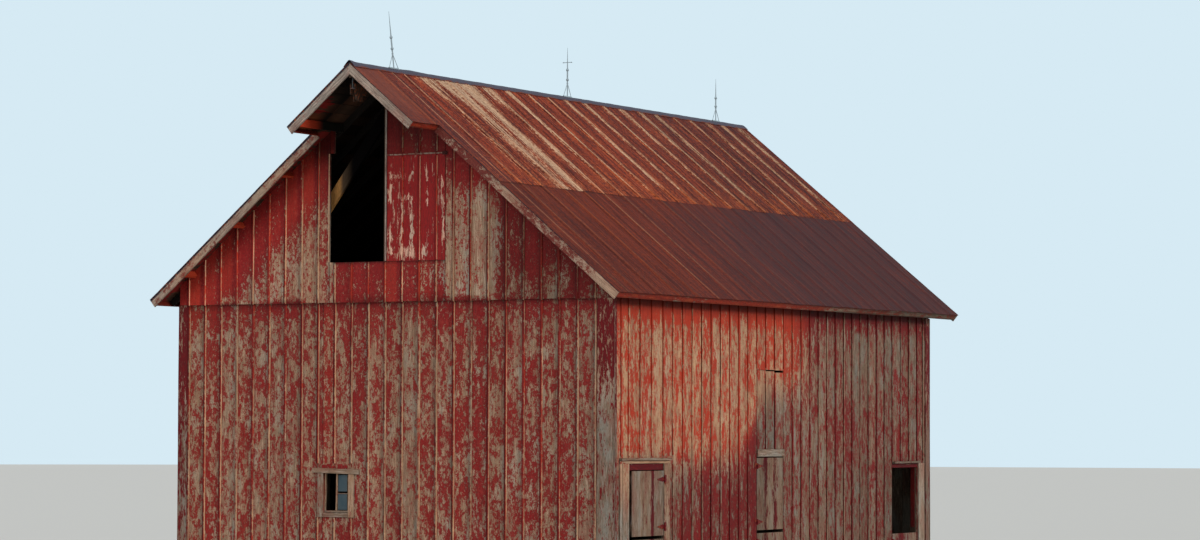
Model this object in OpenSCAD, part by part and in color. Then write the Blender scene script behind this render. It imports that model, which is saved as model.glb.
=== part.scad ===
// Timber-frame hay barn with board siding, a gable hay hood and a crimped metal roof.
// The gable with the hay door faces -Y, the doors for the animals are in the +X wall.

/* [Barn] */
// Width of the barn across the siding of the gable walls
barn_w = 7920; // [7600:10:8600]
// Length of the barn along the siding of the side walls
barn_l = 10970; // [10600:10:12200]
// Height of the top of the wall plates above the ground
plate_z = 4790; // [4700:10:5100]
// Height of the belt where the gable siding laps over the siding below
belt_z = 4580; // [4480:10:4600]

/* [Siding] */
// Thickness of the siding boards
siding_t = 25; // [20:1:30]
// Height of the lower edge of the siding above the ground
siding_z = 100; // [60:5:140]
// How far the gable siding reaches below the belt
belt_lap = 20; // [10:5:60]
// How far the lower siding reaches above the belt behind the gable siding
belt_cover = 60; // [40:5:100]
// Gap between a board end and what it is fitted under
fit_gap = 0.5; // [0.3:0.1:0.9]

/* [Roof] */
// Slope of the roof in degrees
roof_pitch = 39.3; // [38:0.1:41]
// Depth of the rafters square to the slope
rafter_d = 100; // [90:5:120]
// Thickness of the rafters along the barn
rafter_t = 50; // [40:5:60]
// Largest spacing of the rafters
rafter_spacing = 610; // [560:10:700]
// Width of the seat that a rafter has on its plate
rafter_seat = 50; // [40:5:60]
// Thickness of the roof boards
roof_board_t = 22; // [18:1:28]
// Thickness of the ridge board
ridge_t = 40; // [30:5:50]
// Depth of the ridge board
ridge_d = 184; // [160:4:200]
// How far the roof boards and the eave boards reach beyond the side walls
eave_out = 310; // [280:5:360]
// How far the rake boards stand out from the front wall
rake_out = 390; // [340:5:440]
// How far the rake boards stand out from the rear wall
rear_out = 565; // [450:5:600]
// Thickness of the fascia boards at eaves and rakes
fascia_t = 22; // [18:1:28]
// Depth of the rake boards square to the slope
rake_d = 140; // [120:5:160]
// Depth of the eave boards square to the slope
eave_d = 110; // [100:5:130]
// Gap between the ends of two boards that meet
board_gap = 2; // [1:0.5:3]
// Width of a lookout along the slope
lookout_w = 50; // [40:5:60]
// Depth of a lookout square to the slope
lookout_d = 90; // [70:5:100]
// Place of the first lookout, down the slope from the ridge
lookout_first = 2400; // [2200:10:2500]
// Spacing of the lookouts down the slope
lookout_pitch = 1195; // [1000:5:1250]

/* [Hay hood] */
// How far the hood's rake boards stand out from the front wall
hood_out = 1115; // [900:5:1250]
// Half the width of the hood
hood_half = 1140; // [1110:5:1250]
// Place of the hood's side beams, from the middle to the beam's centre
hood_beam_x = 930; // [880:5:960]
// Thickness of the hood's side beams
hood_beam_t = 50; // [40:5:60]
// Depth of the hood's side beams
hood_beam_d = 120; // [100:5:140]

/* [Roof sheets] */
// Thickness of the sheet metal as modelled
sheet_t = 2; // [1:0.5:3]
// Width that one sheet covers
sheet_cover = 610; // [560:5:660]
// Height of a crimp
crimp_h = 12; // [8:1:16]
// Width of a crimp at its foot
crimp_w = 30; // [24:1:40]
// Distance between the two crimps beside a joint
crimp_pair = 60; // [50:2:90]
// Length of the upper sheets down the slope
upper_len = 2880; // [2700:10:3100]
// Length that the upper sheets lap over the lower ones
sheet_lap = 120; // [80:5:160]
// Gap between the two courses where they lap, and under the ridge cap
lap_gap = 0.3; // [0.2:0.1:0.5]
// How far the sheets reach beyond the boards at eaves and rakes
sheet_lip = 12; // [8:1:20]
// Gap between the top edges of the sheets and the ridge
sheet_top = 30; // [20:5:60]
// Width of each wing of the ridge cap
cap_w = 120; // [110:5:180]

/* [Frame] */
// Height of the foundation above the ground
foundation_h = 200; // [170:5:240]
// Width of the foundation
foundation_w = 300; // [260:5:360]
// Height of the sill timbers
sill_h = 150; // [120:5:180]
// Width of the sill timbers and of the wall plates
sill_w = 200; // [190:5:240]
// Height of the wall plates
plate_h = 150; // [120:5:170]
// Thickness of the side and gable girts
girt_t = 50; // [40:5:60]
// Width of the posts
post_w = 150; // [130:5:170]
// Height of the tie beams
tie_h = 200; // [160:5:220]
// Drop of the tie beams below the wall plates
tie_drop = 60; // [40:5:80]
// Length of the legs of the knee braces
knee_leg = 700; // [500:10:800]
// Thickness of the knee braces
knee_t = 100; // [80:5:120]
// Number of bays along the barn
bays = 3; // [3:1:3]
// Height of a wide girt
girt_h = 150; // [120:5:180]
// Height of the middle girts above the ground
mid_girt_z = 3620; // [3600:5:3800]
// Height of the belt girt below the top of the lower siding
belt_girt_h = 190; // [150:5:220]

/* [Loft] */
// Height of the loft floor above the ground
loft_z = 2320; // [2300:5:2400]
// Thickness of the loft boards
loft_board_t = 30; // [25:1:40]
// Depth of the loft joists
joist_d = 150; // [120:5:180]
// Thickness of the loft joists
joist_t = 50; // [40:5:60]
// Largest spacing of the loft joists
joist_spacing = 610; // [560:10:700]
// Height of the girders below the joists
girder_h = 200; // [160:5:220]
// Distance of the girders from the middle of the barn
girder_x = 1300; // [1150:10:1450]
// Height of the loft girts under the loft boards
loft_girt_h = 100; // [80:5:100]
// Gap round a post in the loft boards
post_gap = 3; // [2:0.5:5]
// Width of the stones under the inner posts
pad_w = 320; // [280:5:400]

/* [Hay door] */
// Left edge of the hay opening, from the middle of the gable
hay_left = 1090; // [1050:5:1100]
// Left edge of the hay opening above its step
hay_left_top = 1003; // [980:1:1050]
// Height of the step in the hay opening's left edge
hay_step_z = 6870; // [6700:10:6950]
// Right edge of the hay opening, from the middle of the gable
hay_right = 1030; // [1000:5:1090]
// Height of the sill of the hay opening
hay_sill_z = 5180; // [5050:5:5300]
// Height of the top of the hay door
hay_door_top = 6800; // [6600:5:6850]
// Place of the middle stud's right face, left of the middle
hay_stud_x = 40; // [20:5:60]
// Width of the studs beside the hay opening
stud_w = 100; // [80:5:120]
// How far the stud left of the hay opening stands back from the siding's edge
stud_back = 160; // [120:5:200]
// Width of the middle stud
mid_stud_w = 50; // [40:5:60]
// Thickness of the gable girts
gable_girt_t = 75; // [75:1:75]
// Width of the track braces
brace_w = 170; // [140:5:180]
// Thickness of the track braces
brace_t = 50; // [40:5:60]
// Gap between the track braces and the studs in front of them
brace_off = 20; // [10:5:40]
// Slope of the track braces in degrees
brace_slope = 52.5; // [50:0.5:54]
// Thickness of the ledges on the back of a door
ledge_t = 22; // [18:1:28]
// Height of the ledges on the back of a door
ledge_h = 120; // [90:5:140]
// Gap round a fixed door
leaf_gap = 6; // [5:1:9]

/* [Window] */
// Place of the window's middle, left of the middle of the gable
window_x = 957; // [900:5:1100]
// Height of the sash's lower edge
sash_z = 1335; // [1200:5:1420]
// Width of the sash
sash_w = 454; // [420:2:500]
// Height of the sash
sash_h = 618; // [560:2:660]
// Thickness of the sash
sash_t = 35; // [30:1:40]
// Width of the sash's stiles and rails
stile_w = 42; // [36:1:50]
// Width of the sash bars
bar_w = 30; // [20:1:34]
// Thickness of the glass
glass_t = 3; // [3:1:5]
// Thickness of the window's jambs
jamb_t = 25; // [20:1:30]
// Depth of the window's jambs
jamb_d = 110; // [90:5:130]
// Width of the casings beside the window
window_casing_w = 100; // [80:5:120]
// Height of the board over the window
window_head_h = 75; // [60:5:100]
// How far the head board reaches past the casings
window_head_out = 100; // [60:5:140]
// Height of the window's sill board
window_sill_h = 72; // [60:2:90]

/* [Side doors] */
// Place of the front door's opening, from the front wall
front_door_y = 440; // [400:5:480]
// Width of the front door's opening
front_door_w = 1050; // [980:5:1100]
// Height of the front door's opening
front_door_z = 2120; // [2060:5:2160]
// Height of the front door's leaves
front_leaf_z = 2010; // [1960:5:2040]
// Width of the gap on the latch side of the front door
front_latch_gap = 80; // [30:5:90]
// Place of the middle door's opening, from the front wall
middle_door_y = 4530; // [4400:5:4700]
// Width of the middle door's opening
middle_door_w = 920; // [880:5:980]
// Height of the middle door's opening
middle_door_z = 2190; // [2190:5:2190]
// Distance of the rear door's opening from the rear wall
rear_door_in = 480; // [440:5:700]
// Width of the rear door's opening
rear_door_w = 990; // [940:5:1020]
// Height of the rear door's opening
rear_door_z = 1980; // [1920:5:2040]
// Height of the rear door's lower leaf
rear_leaf_z = 857; // [800:5:960]
// Height of the lower edge of an upper leaf
split_z = 1040; // [960:5:1120]
// Gap between an upper leaf and the leaf below it
split_gap = 48; // [20:2:60]
// Gap between a leaf and the side of its opening
side_gap = 10; // [10:1:14]
// Gap between a lower leaf and the foundation
floor_gap = 30; // [15:5:50]
// Thickness of the boards of a leaf
leaf_t = 25; // [20:1:30]
// Thickness of the casings
casing_t = 22; // [18:1:26]
// Width of the door frames' studs
door_stud_w = 50; // [40:5:60]
// Depth of the door frames' studs and lintels
door_stud_d = 100; // [80:5:120]
// Height of the mow door's sill above the ground
mow_sill_z = 2318; // [2318:1:2340]
// Height of the mow door's opening above the ground
mow_top_z = 3575; // [3500:5:3580]
// Gap above the mow door's leaf
mow_top_gap = 48; // [10:2:60]
// Height of the board under the mow door
mow_board_h = 120; // [100:5:120]

/* [Trim] */
// Width of the front wall's right corner board
corner_w = 275; // [150:5:300]
// Width of the other corner boards on the gable walls
corner_left_w = 155; // [120:5:200]
// Width of the front corner boards on the side walls
corner_side_w = 60; // [40:5:90]
// Width of the rear corner boards on the side walls
corner_rear_w = 160; // [120:5:180]
// Width of the front door's casing nearest the corner
casing_near_w = 280; // [200:5:300]
// Width of the front door's other casing
casing_far_w = 185; // [120:5:220]
// Width of the rear door's casing
casing_rear_w = 240; // [180:5:240]
// Distance of the rear door's casing from its opening
casing_rear_in = 30; // [20:5:40]
// Height of the head piece of the rear door
rear_head_h = 70; // [50:5:90]
// Height of the head casing over the front door
head_casing_h = 45; // [30:5:140]
// Height of a drip cap
drip_h = 35; // [25:5:60]
// How far a drip cap stands out from the siding
drip_out = 60; // [40:5:80]

/* [Hinges] */
// Distance of a hinge pin from the face that its plates are on
pin_off = 16; // [16:0.5:18]
// Radius of a hinge pin
pin_r = 6; // [5:0.5:7]
// Radius of a hinge knuckle
knuckle_r = 10.5; // [10.5:0.5:11]
// Gap between a hinge pin and the eye that turns on it
pin_gap = 0.3; // [0.2:0.05:0.5]
// Height of the eye of a strap
eye_h = 40; // [34:1:50]
// Height of each fixed knuckle
knuckle_h = 24; // [18:1:30]
// Length of a strap
strap_len = 200; // [180:5:260]
// Height of a strap at its root
strap_h = 76; // [60:2:84]
// Height of a strap at its tip
strap_tip_h = 14; // [10:2:24]
// Thickness of straps and hinge plates
strap_t = 6; // [5:0.5:7]
// Width of a hinge plate
plate_w = 70; // [55:5:90]
// Height of a hinge plate
plate_tall = 130; // [110:5:150]
// Distance from a leaf's upper or lower edge to the nearest strap's middle
strap_inset = 130; // [100:5:200]

/* [Hay track] */
// Drop of the hay track's top below the ridge board
track_drop = 99; // [60:1:160]
// Width of the hay track
track_w = 70; // [60:5:90]
// Height of the hay track
track_h = 60; // [50:5:80]
// Thickness of the hay track's metal
track_t = 8; // [6:1:10]
// Clearance round the hay track where it passes through the gable
track_clear = 10; // [6:1:20]
// Width of a hanger
hanger_w = 40; // [30:5:60]
// Largest spacing of the hangers
hanger_spacing = 1800; // [1400:50:2200]
// Distance of the hay carrier from the hood's rake boards
carrier_in = 90; // [90:10:400]
// Length of the hay carrier
carrier_len = 300; // [240:10:360]
// Radius of the carrier's wheels
carrier_wheel_r = 32; // [26:1:36]
// Radius of the carrier's rope sheave
sheave_r = 60; // [50:1:70]

/* [Lightning rods] */
// Height of the middle rod above the ridge cap
rod_h = 810; // [700:10:950]
// Difference in height from one rod to the next
rod_step = 60; // [0:10:90]
// Height of the middle rod's cross arm above the ridge cap
arm_z = 565; // [520:5:620]
// Half length of the cross arm
arm_half = 100; // [70:5:120]
// Radius of a rod at its foot
rod_r = 9; // [7:0.5:12]
// Height of a rod's foot plates on the ridge cap
rod_foot = 6; // [4:1:10]
// Spread of the legs of a rod
leg_spread = 120; // [90:5:130]
// Height at which the legs meet the rod
leg_h = 230; // [180:10:240]
// Height of the collar that holds the legs
collar_h = 24; // [16:1:30]
// Lean of the first rod in degrees
rod_lean = 10; // [0:1:12]
// Radius of the legs
leg_r = 5; // [4:0.5:7]
// Radius of the glass balls
ball_r = 24; // [18:1:32]
// Place of the first rod, from the front wall
rod_front = 90; // [40:10:300]
// Place of the last rod, from the rear wall
rod_rear = 470; // [300:10:600]

/* [Hidden] */
$fn = 48;

// Half sizes, and the walls' places along Y with the whole roof centred on the origin
half_w = barn_w / 2;
y_front = (hood_out - rear_out - barn_l) / 2;
inner_x = half_w - siding_t;
rear_door_y = barn_l - rear_door_in - rear_door_w;
post_x = inner_x - girt_t;
sill_top = foundation_h + sill_h;

// Slope of the roof: rise for each unit of run, and how much a thickness grows when cut plumb
roof_tan = tan(roof_pitch);
roof_cos = cos(roof_pitch);
roof_sin = sin(roof_pitch);

// Height of the deck's ridge line: the rafters' lower edges cross the plates at their seats
deck_ridge = plate_z + roof_tan * (inner_x - rafter_seat) + (roof_board_t + rafter_d) / roof_cos;
slope_len = (half_w + eave_out) / roof_cos;
hood_len = hood_half / roof_cos;
rafter_len = slope_len - fascia_t - fit_gap;

// Heights of the deck's underside and of the rafters' underside at a distance from the middle
function deck_under(x) = deck_ridge - roof_board_t / roof_cos - roof_tan * abs(x);
function rafter_under(x) = deck_under(x) - rafter_d / roof_cos;

// A point given down the slope and square to it, as a place across the barn and a height
function slope_point(u, w) = [u * roof_cos + w * roof_sin, deck_ridge - u * roof_sin + w * roof_cos];

// Tie beams and bents
tie_z = plate_z - plate_h - tie_drop - tie_h;
tie_top = tie_z + tie_h;
bent_pitch = barn_l / bays;
wall_depth = siding_t + girt_t;
bent_y = [
    for (i = [0:bays])
        i == 0 ? wall_depth
        : i == bays ? barn_l - wall_depth - post_w
        : i * bent_pitch - post_w / 2
];

// Loft levels
joist_top = loft_z - loft_board_t;
joist_z = joist_top - joist_d;
girder_z = joist_z - girder_h;

// Door leaves: heights
leaf_floor = foundation_h + floor_gap;
lower_leaf_top = split_z - split_gap;
middle_leaf_z = middle_door_z - side_gap;

// A box from its lowest to its highest corner
module span(low, high) {
    translate(low)
        cube(high - low);
}

// Children are placed from the front wall's siding face, +Y towards the rear
module from_front() {
    translate([0, y_front, 0])
        children();
}

// Children are placed from the rear wall's siding face, +Y towards the front
module from_rear() {
    translate([0, y_front + barn_l, 0])
        mirror([0, 1, 0])
            children();
}

// Children and their mirror image across the barn
module both_sides() {
    children();
    mirror([1, 0, 0])
        children();
}

// Children are placed on the right roof slope: X runs down the slope, Z stands square to it
module on_slope() {
    translate([0, 0, deck_ridge])
        rotate([0, roof_pitch, 0])
            children();
}

// An outline drawn across the barn and in height, carried along the barn from y to y + t
module across(y, t) {
    translate([0, y + t, 0])
        rotate([90, 0, 0])
            linear_extrude(t)
                children();
}

// Foundation wall and the stones under the inner posts
module foundation() {
    color("darkgray")
        from_front() {
            difference() {
                span([-inner_x, siding_t, 0], [inner_x, barn_l - siding_t, foundation_h]);
                span([-inner_x + foundation_w, siding_t + foundation_w, -1],
                     [inner_x - foundation_w, barn_l - siding_t - foundation_w, foundation_h + 1]);
            }
            both_sides()
                for (i = [1:bays - 1])
                    span([girder_x - pad_w / 2, bent_y[i] + (post_w - pad_w) / 2, 0],
                         [girder_x + pad_w / 2, bent_y[i] + (post_w + pad_w) / 2, foundation_h]);
        }
}

// Sill timbers on the foundation, cut out at the doors
module sills() {
    color("tan")
        from_front()
            difference() {
                span([-inner_x, siding_t, foundation_h], [inner_x, barn_l - siding_t, sill_top]);
                span([-inner_x + sill_w, siding_t + sill_w, foundation_h - 1],
                     [inner_x - sill_w, barn_l - siding_t - sill_w, sill_top + 1]);
                for (d = side_doorways())
                    span([inner_x - sill_w - 1, d[0] - door_stud_w, foundation_h - 1],
                         [inner_x + 1, d[0] + d[1] + door_stud_w, sill_top + 1]);
            }
}

// Wall posts under the plates and inner posts under the loft girders
module posts() {
    color("burlywood")
        from_front()
            both_sides() {
                for (y = bent_y)
                    span([post_x - post_w, y, sill_top], [post_x, y + post_w, plate_z - plate_h]);
                for (i = [0:bays])
                    span([girder_x - post_w / 2, bent_y[i], i % bays == 0 ? sill_top : foundation_h],
                         [girder_x + post_w / 2, bent_y[i] + post_w, girder_z]);
            }
}

// Girts between the posts and the siding: at the loft, at mid height, at the belt and, on the
// gables, at the hay door's sill
module girts() {
    color("burlywood") {
        from_front() {
            gable_girts();
            both_sides() {
                side_girt(joist_top - loft_girt_h, loft_girt_h);
                side_girt(mid_girt_z, girt_h);
            }
        }
        from_rear()
            gable_girts();
    }
}

module side_girt(z, h) {
    span([post_x, wall_depth + board_gap, z], [inner_x, barn_l - wall_depth - board_gap, z + h]);
}

module gable_girts() {
    belt_top = belt_z + belt_cover;
    half_at_sill = (deck_under(0) - hay_sill_z) / roof_tan - fit_gap;
    span([-inner_x, siding_t, joist_top - loft_girt_h], [inner_x, wall_depth, joist_top]);
    span([-inner_x, siding_t, mid_girt_z], [inner_x, wall_depth, mid_girt_z + girt_h]);
    span([-inner_x, siding_t, belt_top - belt_girt_h], [inner_x, wall_depth, belt_top]);
    span([-half_at_sill, 0, hay_sill_z - girt_h], [half_at_sill, gable_girt_t, hay_sill_z]);
}

// Plates on top of the wall posts
module wall_plates() {
    color("burlywood")
        from_front()
            both_sides()
                span([inner_x - sill_w, wall_depth, plate_z - plate_h],
                     [inner_x, barn_l - wall_depth, plate_z]);
}

// Beams that tie the posts of each bent together
module tie_beams() {
    color("burlywood")
        from_front()
            for (y = bent_y)
                span([-post_x + post_w, y, tie_z], [post_x - post_w, y + post_w, tie_top]);
}

// Knee braces at 45 degrees between the posts and the tie beams, and the two track braces
module braces() {
    color("burlywood")
        from_front() {
            both_sides()
                for (y = bent_y)
                    across(y + (post_w - knee_t) / 2, knee_t)
                        knee_outline(post_x - post_w);
            both_sides()
                across(gable_girt_t + stud_w + brace_off, brace_t)
                    track_outline();
        }
}

module knee_outline(face_x) {
    foot = knee_t * sqrt(2);
    polygon([
        [face_x, tie_z - knee_leg], [face_x, tie_z - knee_leg + foot],
        [face_x - knee_leg + foot, tie_z], [face_x - knee_leg, tie_z]
    ]);
}

// The right one of two planks that stand on the front tie beam and meet under the hay track
module track_outline() {
    apex_z = track_z - track_h;
    run = (apex_z - tie_top) / tan(brace_slope);
    half_cut = brace_w / sin(brace_slope) / 2;
    intersection() {
        polygon([
            [run - half_cut, tie_top], [run + half_cut, tie_top], [half_cut, apex_z], [-half_cut, apex_z]
        ]);
        translate([board_gap / 2, tie_top])
            square([2 * run, apex_z - tie_top]);
    }
}

// The ridge board's upper and lower edges
ridge_top = deck_under(ridge_t / 2);
ridge_under = ridge_top - ridge_d;
track_z = ridge_under - track_drop;

// Studs beside the hay opening and between its halves, their likes at the rear, and the frames
// behind the siding at the side doors
module wall_studs() {
    color("burlywood") {
        from_front() {
            gable_stud(-hay_left - stud_back - stud_w, stud_w);
            gable_stud(hay_right, stud_w);
            span([-hay_stud_x - mid_stud_w, -siding_t, hay_sill_z],
                 [-hay_stud_x, gable_girt_t, ridge_under - fit_gap]);
            for (d = side_doorways())
                door_frame(d[0], d[1], d[3]);
        }
        from_rear() {
            gable_stud(-hay_left - stud_w, stud_w);
            gable_stud(hay_left, stud_w);
        }
    }
}

module gable_stud(x, w) {
    top = rafter_under(max(abs(x), abs(x + w))) - fit_gap;
    span([x, gable_girt_t, tie_top], [x + w, gable_girt_t + stud_w, top]);
}

// Two studs up to the loft joists' level, with a lintel between them where there is room for one
module door_frame(y, w, lintel_z) {
    x = inner_x - door_stud_d;
    span([x, y - door_stud_w, foundation_h], [inner_x, y, joist_z]);
    span([x, y + w, foundation_h], [inner_x, y + w + door_stud_w, joist_z]);
    if (joist_z - lintel_z > door_stud_w)
        span([x, y + fit_gap, lintel_z], [inner_x, y + w - fit_gap, joist_z]);
}

// Girders along the barn under the loft joists
module loft_girders() {
    color("burlywood")
        from_front()
            both_sides()
                span([girder_x - post_w / 2, wall_depth, girder_z],
                     [girder_x + post_w / 2, barn_l - wall_depth, joist_z]);
}

// Joists across the barn between the loft girts
joist_from = wall_depth + post_w + 10;
joist_to = barn_l - joist_from - joist_t;
joist_n = ceil((joist_to - joist_from) / joist_spacing);

module loft_joists() {
    color("burlywood")
        from_front()
            for (i = [0:joist_n]) {
                y = joist_from + (joist_to - joist_from) * i / joist_n;
                if (!meets_bent(y, joist_t))
                    span([-post_x, y, joist_z], [post_x, y + joist_t, joist_top]);
                else
                    span([-post_x + post_w + 5, y, joist_z], [post_x - post_w - 5, y + joist_t, joist_top]);
            }
}

// Whether a piece from y to y + t would run into the posts of a bent
function meets_bent(y, t) =
    len([for (b = bent_y) if (y < b + post_w + 5 && y + t > b - 5) b]) > 0;

// Loft boards: full width in the bays, and cut short between the posts at the bents
module loft_floor() {
    bay_x = inner_x - fit_gap;
    bent_x = post_x - post_w - post_gap;
    color("peru")
        from_front() {
            span([-bay_x, siding_t + fit_gap, joist_top], [bay_x, bent_y[0] - post_gap, loft_z]);
            for (i = [0:bays]) {
                edge = bent_y[i] + post_w + post_gap;
                next = i < bays ? bent_y[i + 1] - post_gap : barn_l - siding_t - fit_gap;
                span([-bent_x, bent_y[i] - post_gap + board_gap, joist_top],
                     [bent_x, edge - board_gap, loft_z]);
                span([-bay_x, edge, joist_top], [bay_x, next, loft_z]);
            }
        }
}

// Rafters with a plumb cut at the ridge, a seat on the plate and a square tail
rafter_n = ceil((barn_l - 2 * wall_depth - rafter_t) / rafter_spacing);

module rafters() {
    color("burlywood")
        from_front()
            both_sides()
                for (i = [0:rafter_n])
                    across(rafter_y(i), rafter_t)
                        polygon([
                            [ridge_t / 2, rafter_under(ridge_t / 2)],
                            [ridge_t / 2, deck_under(ridge_t / 2) - fit_gap],
                            slope_point(rafter_len, -roof_board_t - fit_gap),
                            slope_point(rafter_len, -roof_board_t - rafter_d),
                            [inner_x, rafter_under(inner_x)], [inner_x, plate_z],
                            [inner_x - rafter_seat, plate_z]
                        ]);
}

function rafter_y(i) =
    wall_depth + (barn_l - 2 * wall_depth - rafter_t) * i / rafter_n;

// Ridge board between the rafters, out to the hood's rake boards
module ridge_board() {
    color("burlywood")
        from_front()
            span([-ridge_t / 2, -hood_out + fascia_t, ridge_under],
                 [ridge_t / 2, barn_l + rear_out - fascia_t, ridge_top]);
}

// Places of the lookouts, down the slope
lookout_last = slope_len - 400;
lookout_u = [for (u = [lookout_first:lookout_pitch:lookout_last]) u];

// Lookouts from the first and last rafters out to the rake boards, and the hood's side beams
module lookouts() {
    color("peru")
        from_front()
            both_sides() {
                on_slope()
                    for (u = lookout_u) {
                        lookout(u, -rake_out + fascia_t, wall_depth - fit_gap, 0);
                        lookout(u, barn_l - wall_depth + fit_gap, barn_l + rear_out - fascia_t, 0);
                    }
                hood_beam(0);
            }
}

module lookout(u, y0, y1, gap) {
    span([u - lookout_w / 2 - gap, y0, -roof_board_t - lookout_d - gap],
         [u + lookout_w / 2 + gap, y1, -roof_board_t + gap]);
}

hood_beam_top = deck_under(hood_beam_x + hood_beam_t / 2);

module hood_beam(gap) {
    span([hood_beam_x - hood_beam_t / 2 - gap, -hood_out + fascia_t, hood_beam_top - hood_beam_d - gap],
         [hood_beam_x + hood_beam_t / 2 + gap, wall_depth, hood_beam_top + gap]);
}

// Boards of the roof and of its hood; at the ridge their lower edges meet over the ridge board
module roof_boards() {
    top_u = (board_gap / 2 + roof_board_t * roof_sin) / roof_cos;
    color("sienna")
        from_front()
            both_sides()
                on_slope() {
                    span([top_u, -rake_out + fascia_t, -roof_board_t],
                         [slope_len - fascia_t, barn_l + rear_out - fascia_t, 0]);
                    span([top_u, -hood_out + fascia_t, -roof_board_t],
                         [hood_len - fascia_t, -rake_out + fascia_t - board_gap, 0]);
                }
}

// One crimp: the points of its foot, top and foot, from its middle y and the sheet's level w
function crimp(y, w) = [[y - crimp_w / 2, w], [y, w + crimp_h], [y + crimp_w / 2, w]];

// Middles of the crimps between two places: a pair at each joint and one halfway
function crimp_places(y0, y1) = [
    for (joint = [y0:sheet_cover:y1 + sheet_cover], d = [-crimp_pair / 2, crimp_pair / 2, sheet_cover / 2])
        if (joint + d > y0 + crimp_w && joint + d < y1 - crimp_w) joint + d
];

// Crimped sheets from y0 to y1, laid from u0 to u1 down the slope at level w
module crimped(y0, y1, u0, u1, w) {
    places = crimp_places(y0, y1);
    top = [for (y = places, p = crimp(y, w + sheet_t)) p];
    bottom = [for (i = [len(places) - 1:-1:0], j = [2:-1:0]) crimp(places[i], w)[j]];
    on_slope()
        translate([u0, 0, 0])
            rotate([90, 0, 90])
                linear_extrude(u1 - u0)
                    polygon(concat([[y0, w], [y0, w + sheet_t]], top, [[y1, w + sheet_t], [y1, w]], bottom));
}

// Sheets of the roof: a lower course, an upper course that laps over it, and those of the hood
module roof_sheets() {
    y0 = -rake_out - sheet_lip;
    y1 = barn_l + rear_out + sheet_lip;
    color("chocolate")
        from_front()
            both_sides() {
                crimped(y0, y1, upper_len - sheet_lap, slope_len + sheet_lip, 0);
                crimped(y0, y1, sheet_top, upper_len, sheet_t + lap_gap);
                crimped(-hood_out - sheet_lip, y0 - board_gap, sheet_top, hood_len + sheet_lip, 0);
            }
}

// Folded cap along the ridge, resting on the crimps
module ridge_cap() {
    w0 = 2 * sheet_t + crimp_h + 2 * lap_gap;
    w1 = w0 + sheet_t;
    inner = slope_point(cap_w, w0);
    outer = slope_point(cap_w, w1);
    color("slategray")
        from_front()
            across(-hood_out - sheet_lip, hood_out + barn_l + rear_out + 2 * sheet_lip)
                polygon([
                    inner, outer, [0, deck_ridge + w1 / roof_cos], [-outer[0], outer[1]],
                    [-inner[0], inner[1]], [0, deck_ridge + w0 / roof_cos]
                ]);
}

// A rake board's outline: from u0 to u1 down the right slope, plumb at the ridge
module rake_outline(u0, u1, depth) {
    difference() {
        polygon([
            slope_point(u0, -fit_gap), slope_point(u1, -fit_gap),
            slope_point(u1, -depth), slope_point(u0, -depth)
        ]);
        translate([-2 * depth, deck_ridge - 2 * depth])
            square([2 * depth + board_gap / 2, 3 * depth]);
    }
}

// Rake boards on the gables and on the hood
module rake_boards() {
    top_u = -rake_d * roof_tan;
    color("silver")
        from_front()
            both_sides() {
                across(-hood_out, fascia_t)
                    rake_outline(top_u, hood_len, rake_d);
                across(-rake_out, fascia_t)
                    rake_outline(hood_len + board_gap, slope_len, rake_d);
                across(barn_l + rear_out - fascia_t, fascia_t)
                    rake_outline(top_u, slope_len, rake_d);
            }
}

// Eave boards on the rafters' square tails and along the hood's lower edges
module eave_boards() {
    color("firebrick")
        from_front()
            both_sides()
                on_slope() {
                    span([slope_len - fascia_t, -rake_out + fascia_t, -eave_d],
                         [slope_len, barn_l + rear_out - fascia_t, 0]);
                    span([hood_len - fascia_t, -hood_out + fascia_t, -eave_d],
                         [hood_len, -rake_out - board_gap, 0]);
                }
}

// Siding below the belt on a gable wall
module lower_siding() {
    span([-half_w, 0, siding_z], [half_w, siding_t, belt_z + belt_cover]);
}

// Front wall below the belt, with the window cut through
module front_wall() {
    color("firebrick")
        from_front()
            difference() {
                lower_siding();
                window_hole(0);
            }
}

// The window's outer size, cut through the wall
module window_hole(gap) {
    rough = sash_w / 2 + jamb_t + leaf_gap / 2;
    span([-window_x - rough - gap, -1, sash_z - window_sill_h - gap],
         [-window_x + rough + gap, siding_t + 1, sash_z + sash_h + leaf_gap / 2 + jamb_t + gap]);
}

// Outline of the gable siding from the belt up to the roof boards
module gable_outline() {
    low = belt_z - belt_lap;
    top_z = deck_under(half_w) - fit_gap;
    polygon([
        [-half_w, low], [half_w, low], [half_w, top_z], [0, deck_under(0) - fit_gap], [-half_w, top_z]
    ]);
}

// Notches that the lookouts pass through
module lookout_notches() {
    both_sides()
        on_slope()
            for (u = lookout_u)
                lookout(u, -siding_t - 1, 1, fit_gap);
}

// Gable siding beside the hay opening, below it, and above the hay door
module front_gable() {
    color("firebrick")
        from_front()
            difference() {
                across(-siding_t, siding_t)
                    union() {
                        difference() {
                            gable_outline();
                            translate([-hay_left, belt_z - belt_lap - 1])
                                square([hay_left + hay_right, deck_ridge]);
                        }
                        translate([-hay_left + board_gap, belt_z - belt_lap])
                            square([hay_left + hay_right - 2 * board_gap, hay_sill_z - belt_z + belt_lap]);
                        intersection() {
                            gable_outline();
                            union() {
                                translate([-hay_stud_x + fit_gap, hay_door_top])
                                    square([hay_right + hay_stud_x - board_gap, deck_ridge]);
                                translate([-hay_left + board_gap, hay_step_z])
                                    square([hay_left - hay_left_top - board_gap, deck_ridge]);
                            }
                        }
                    }
                lookout_notches();
                hood_beam(fit_gap);
                ridge_notch();
                track_notch();
            }
}

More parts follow.
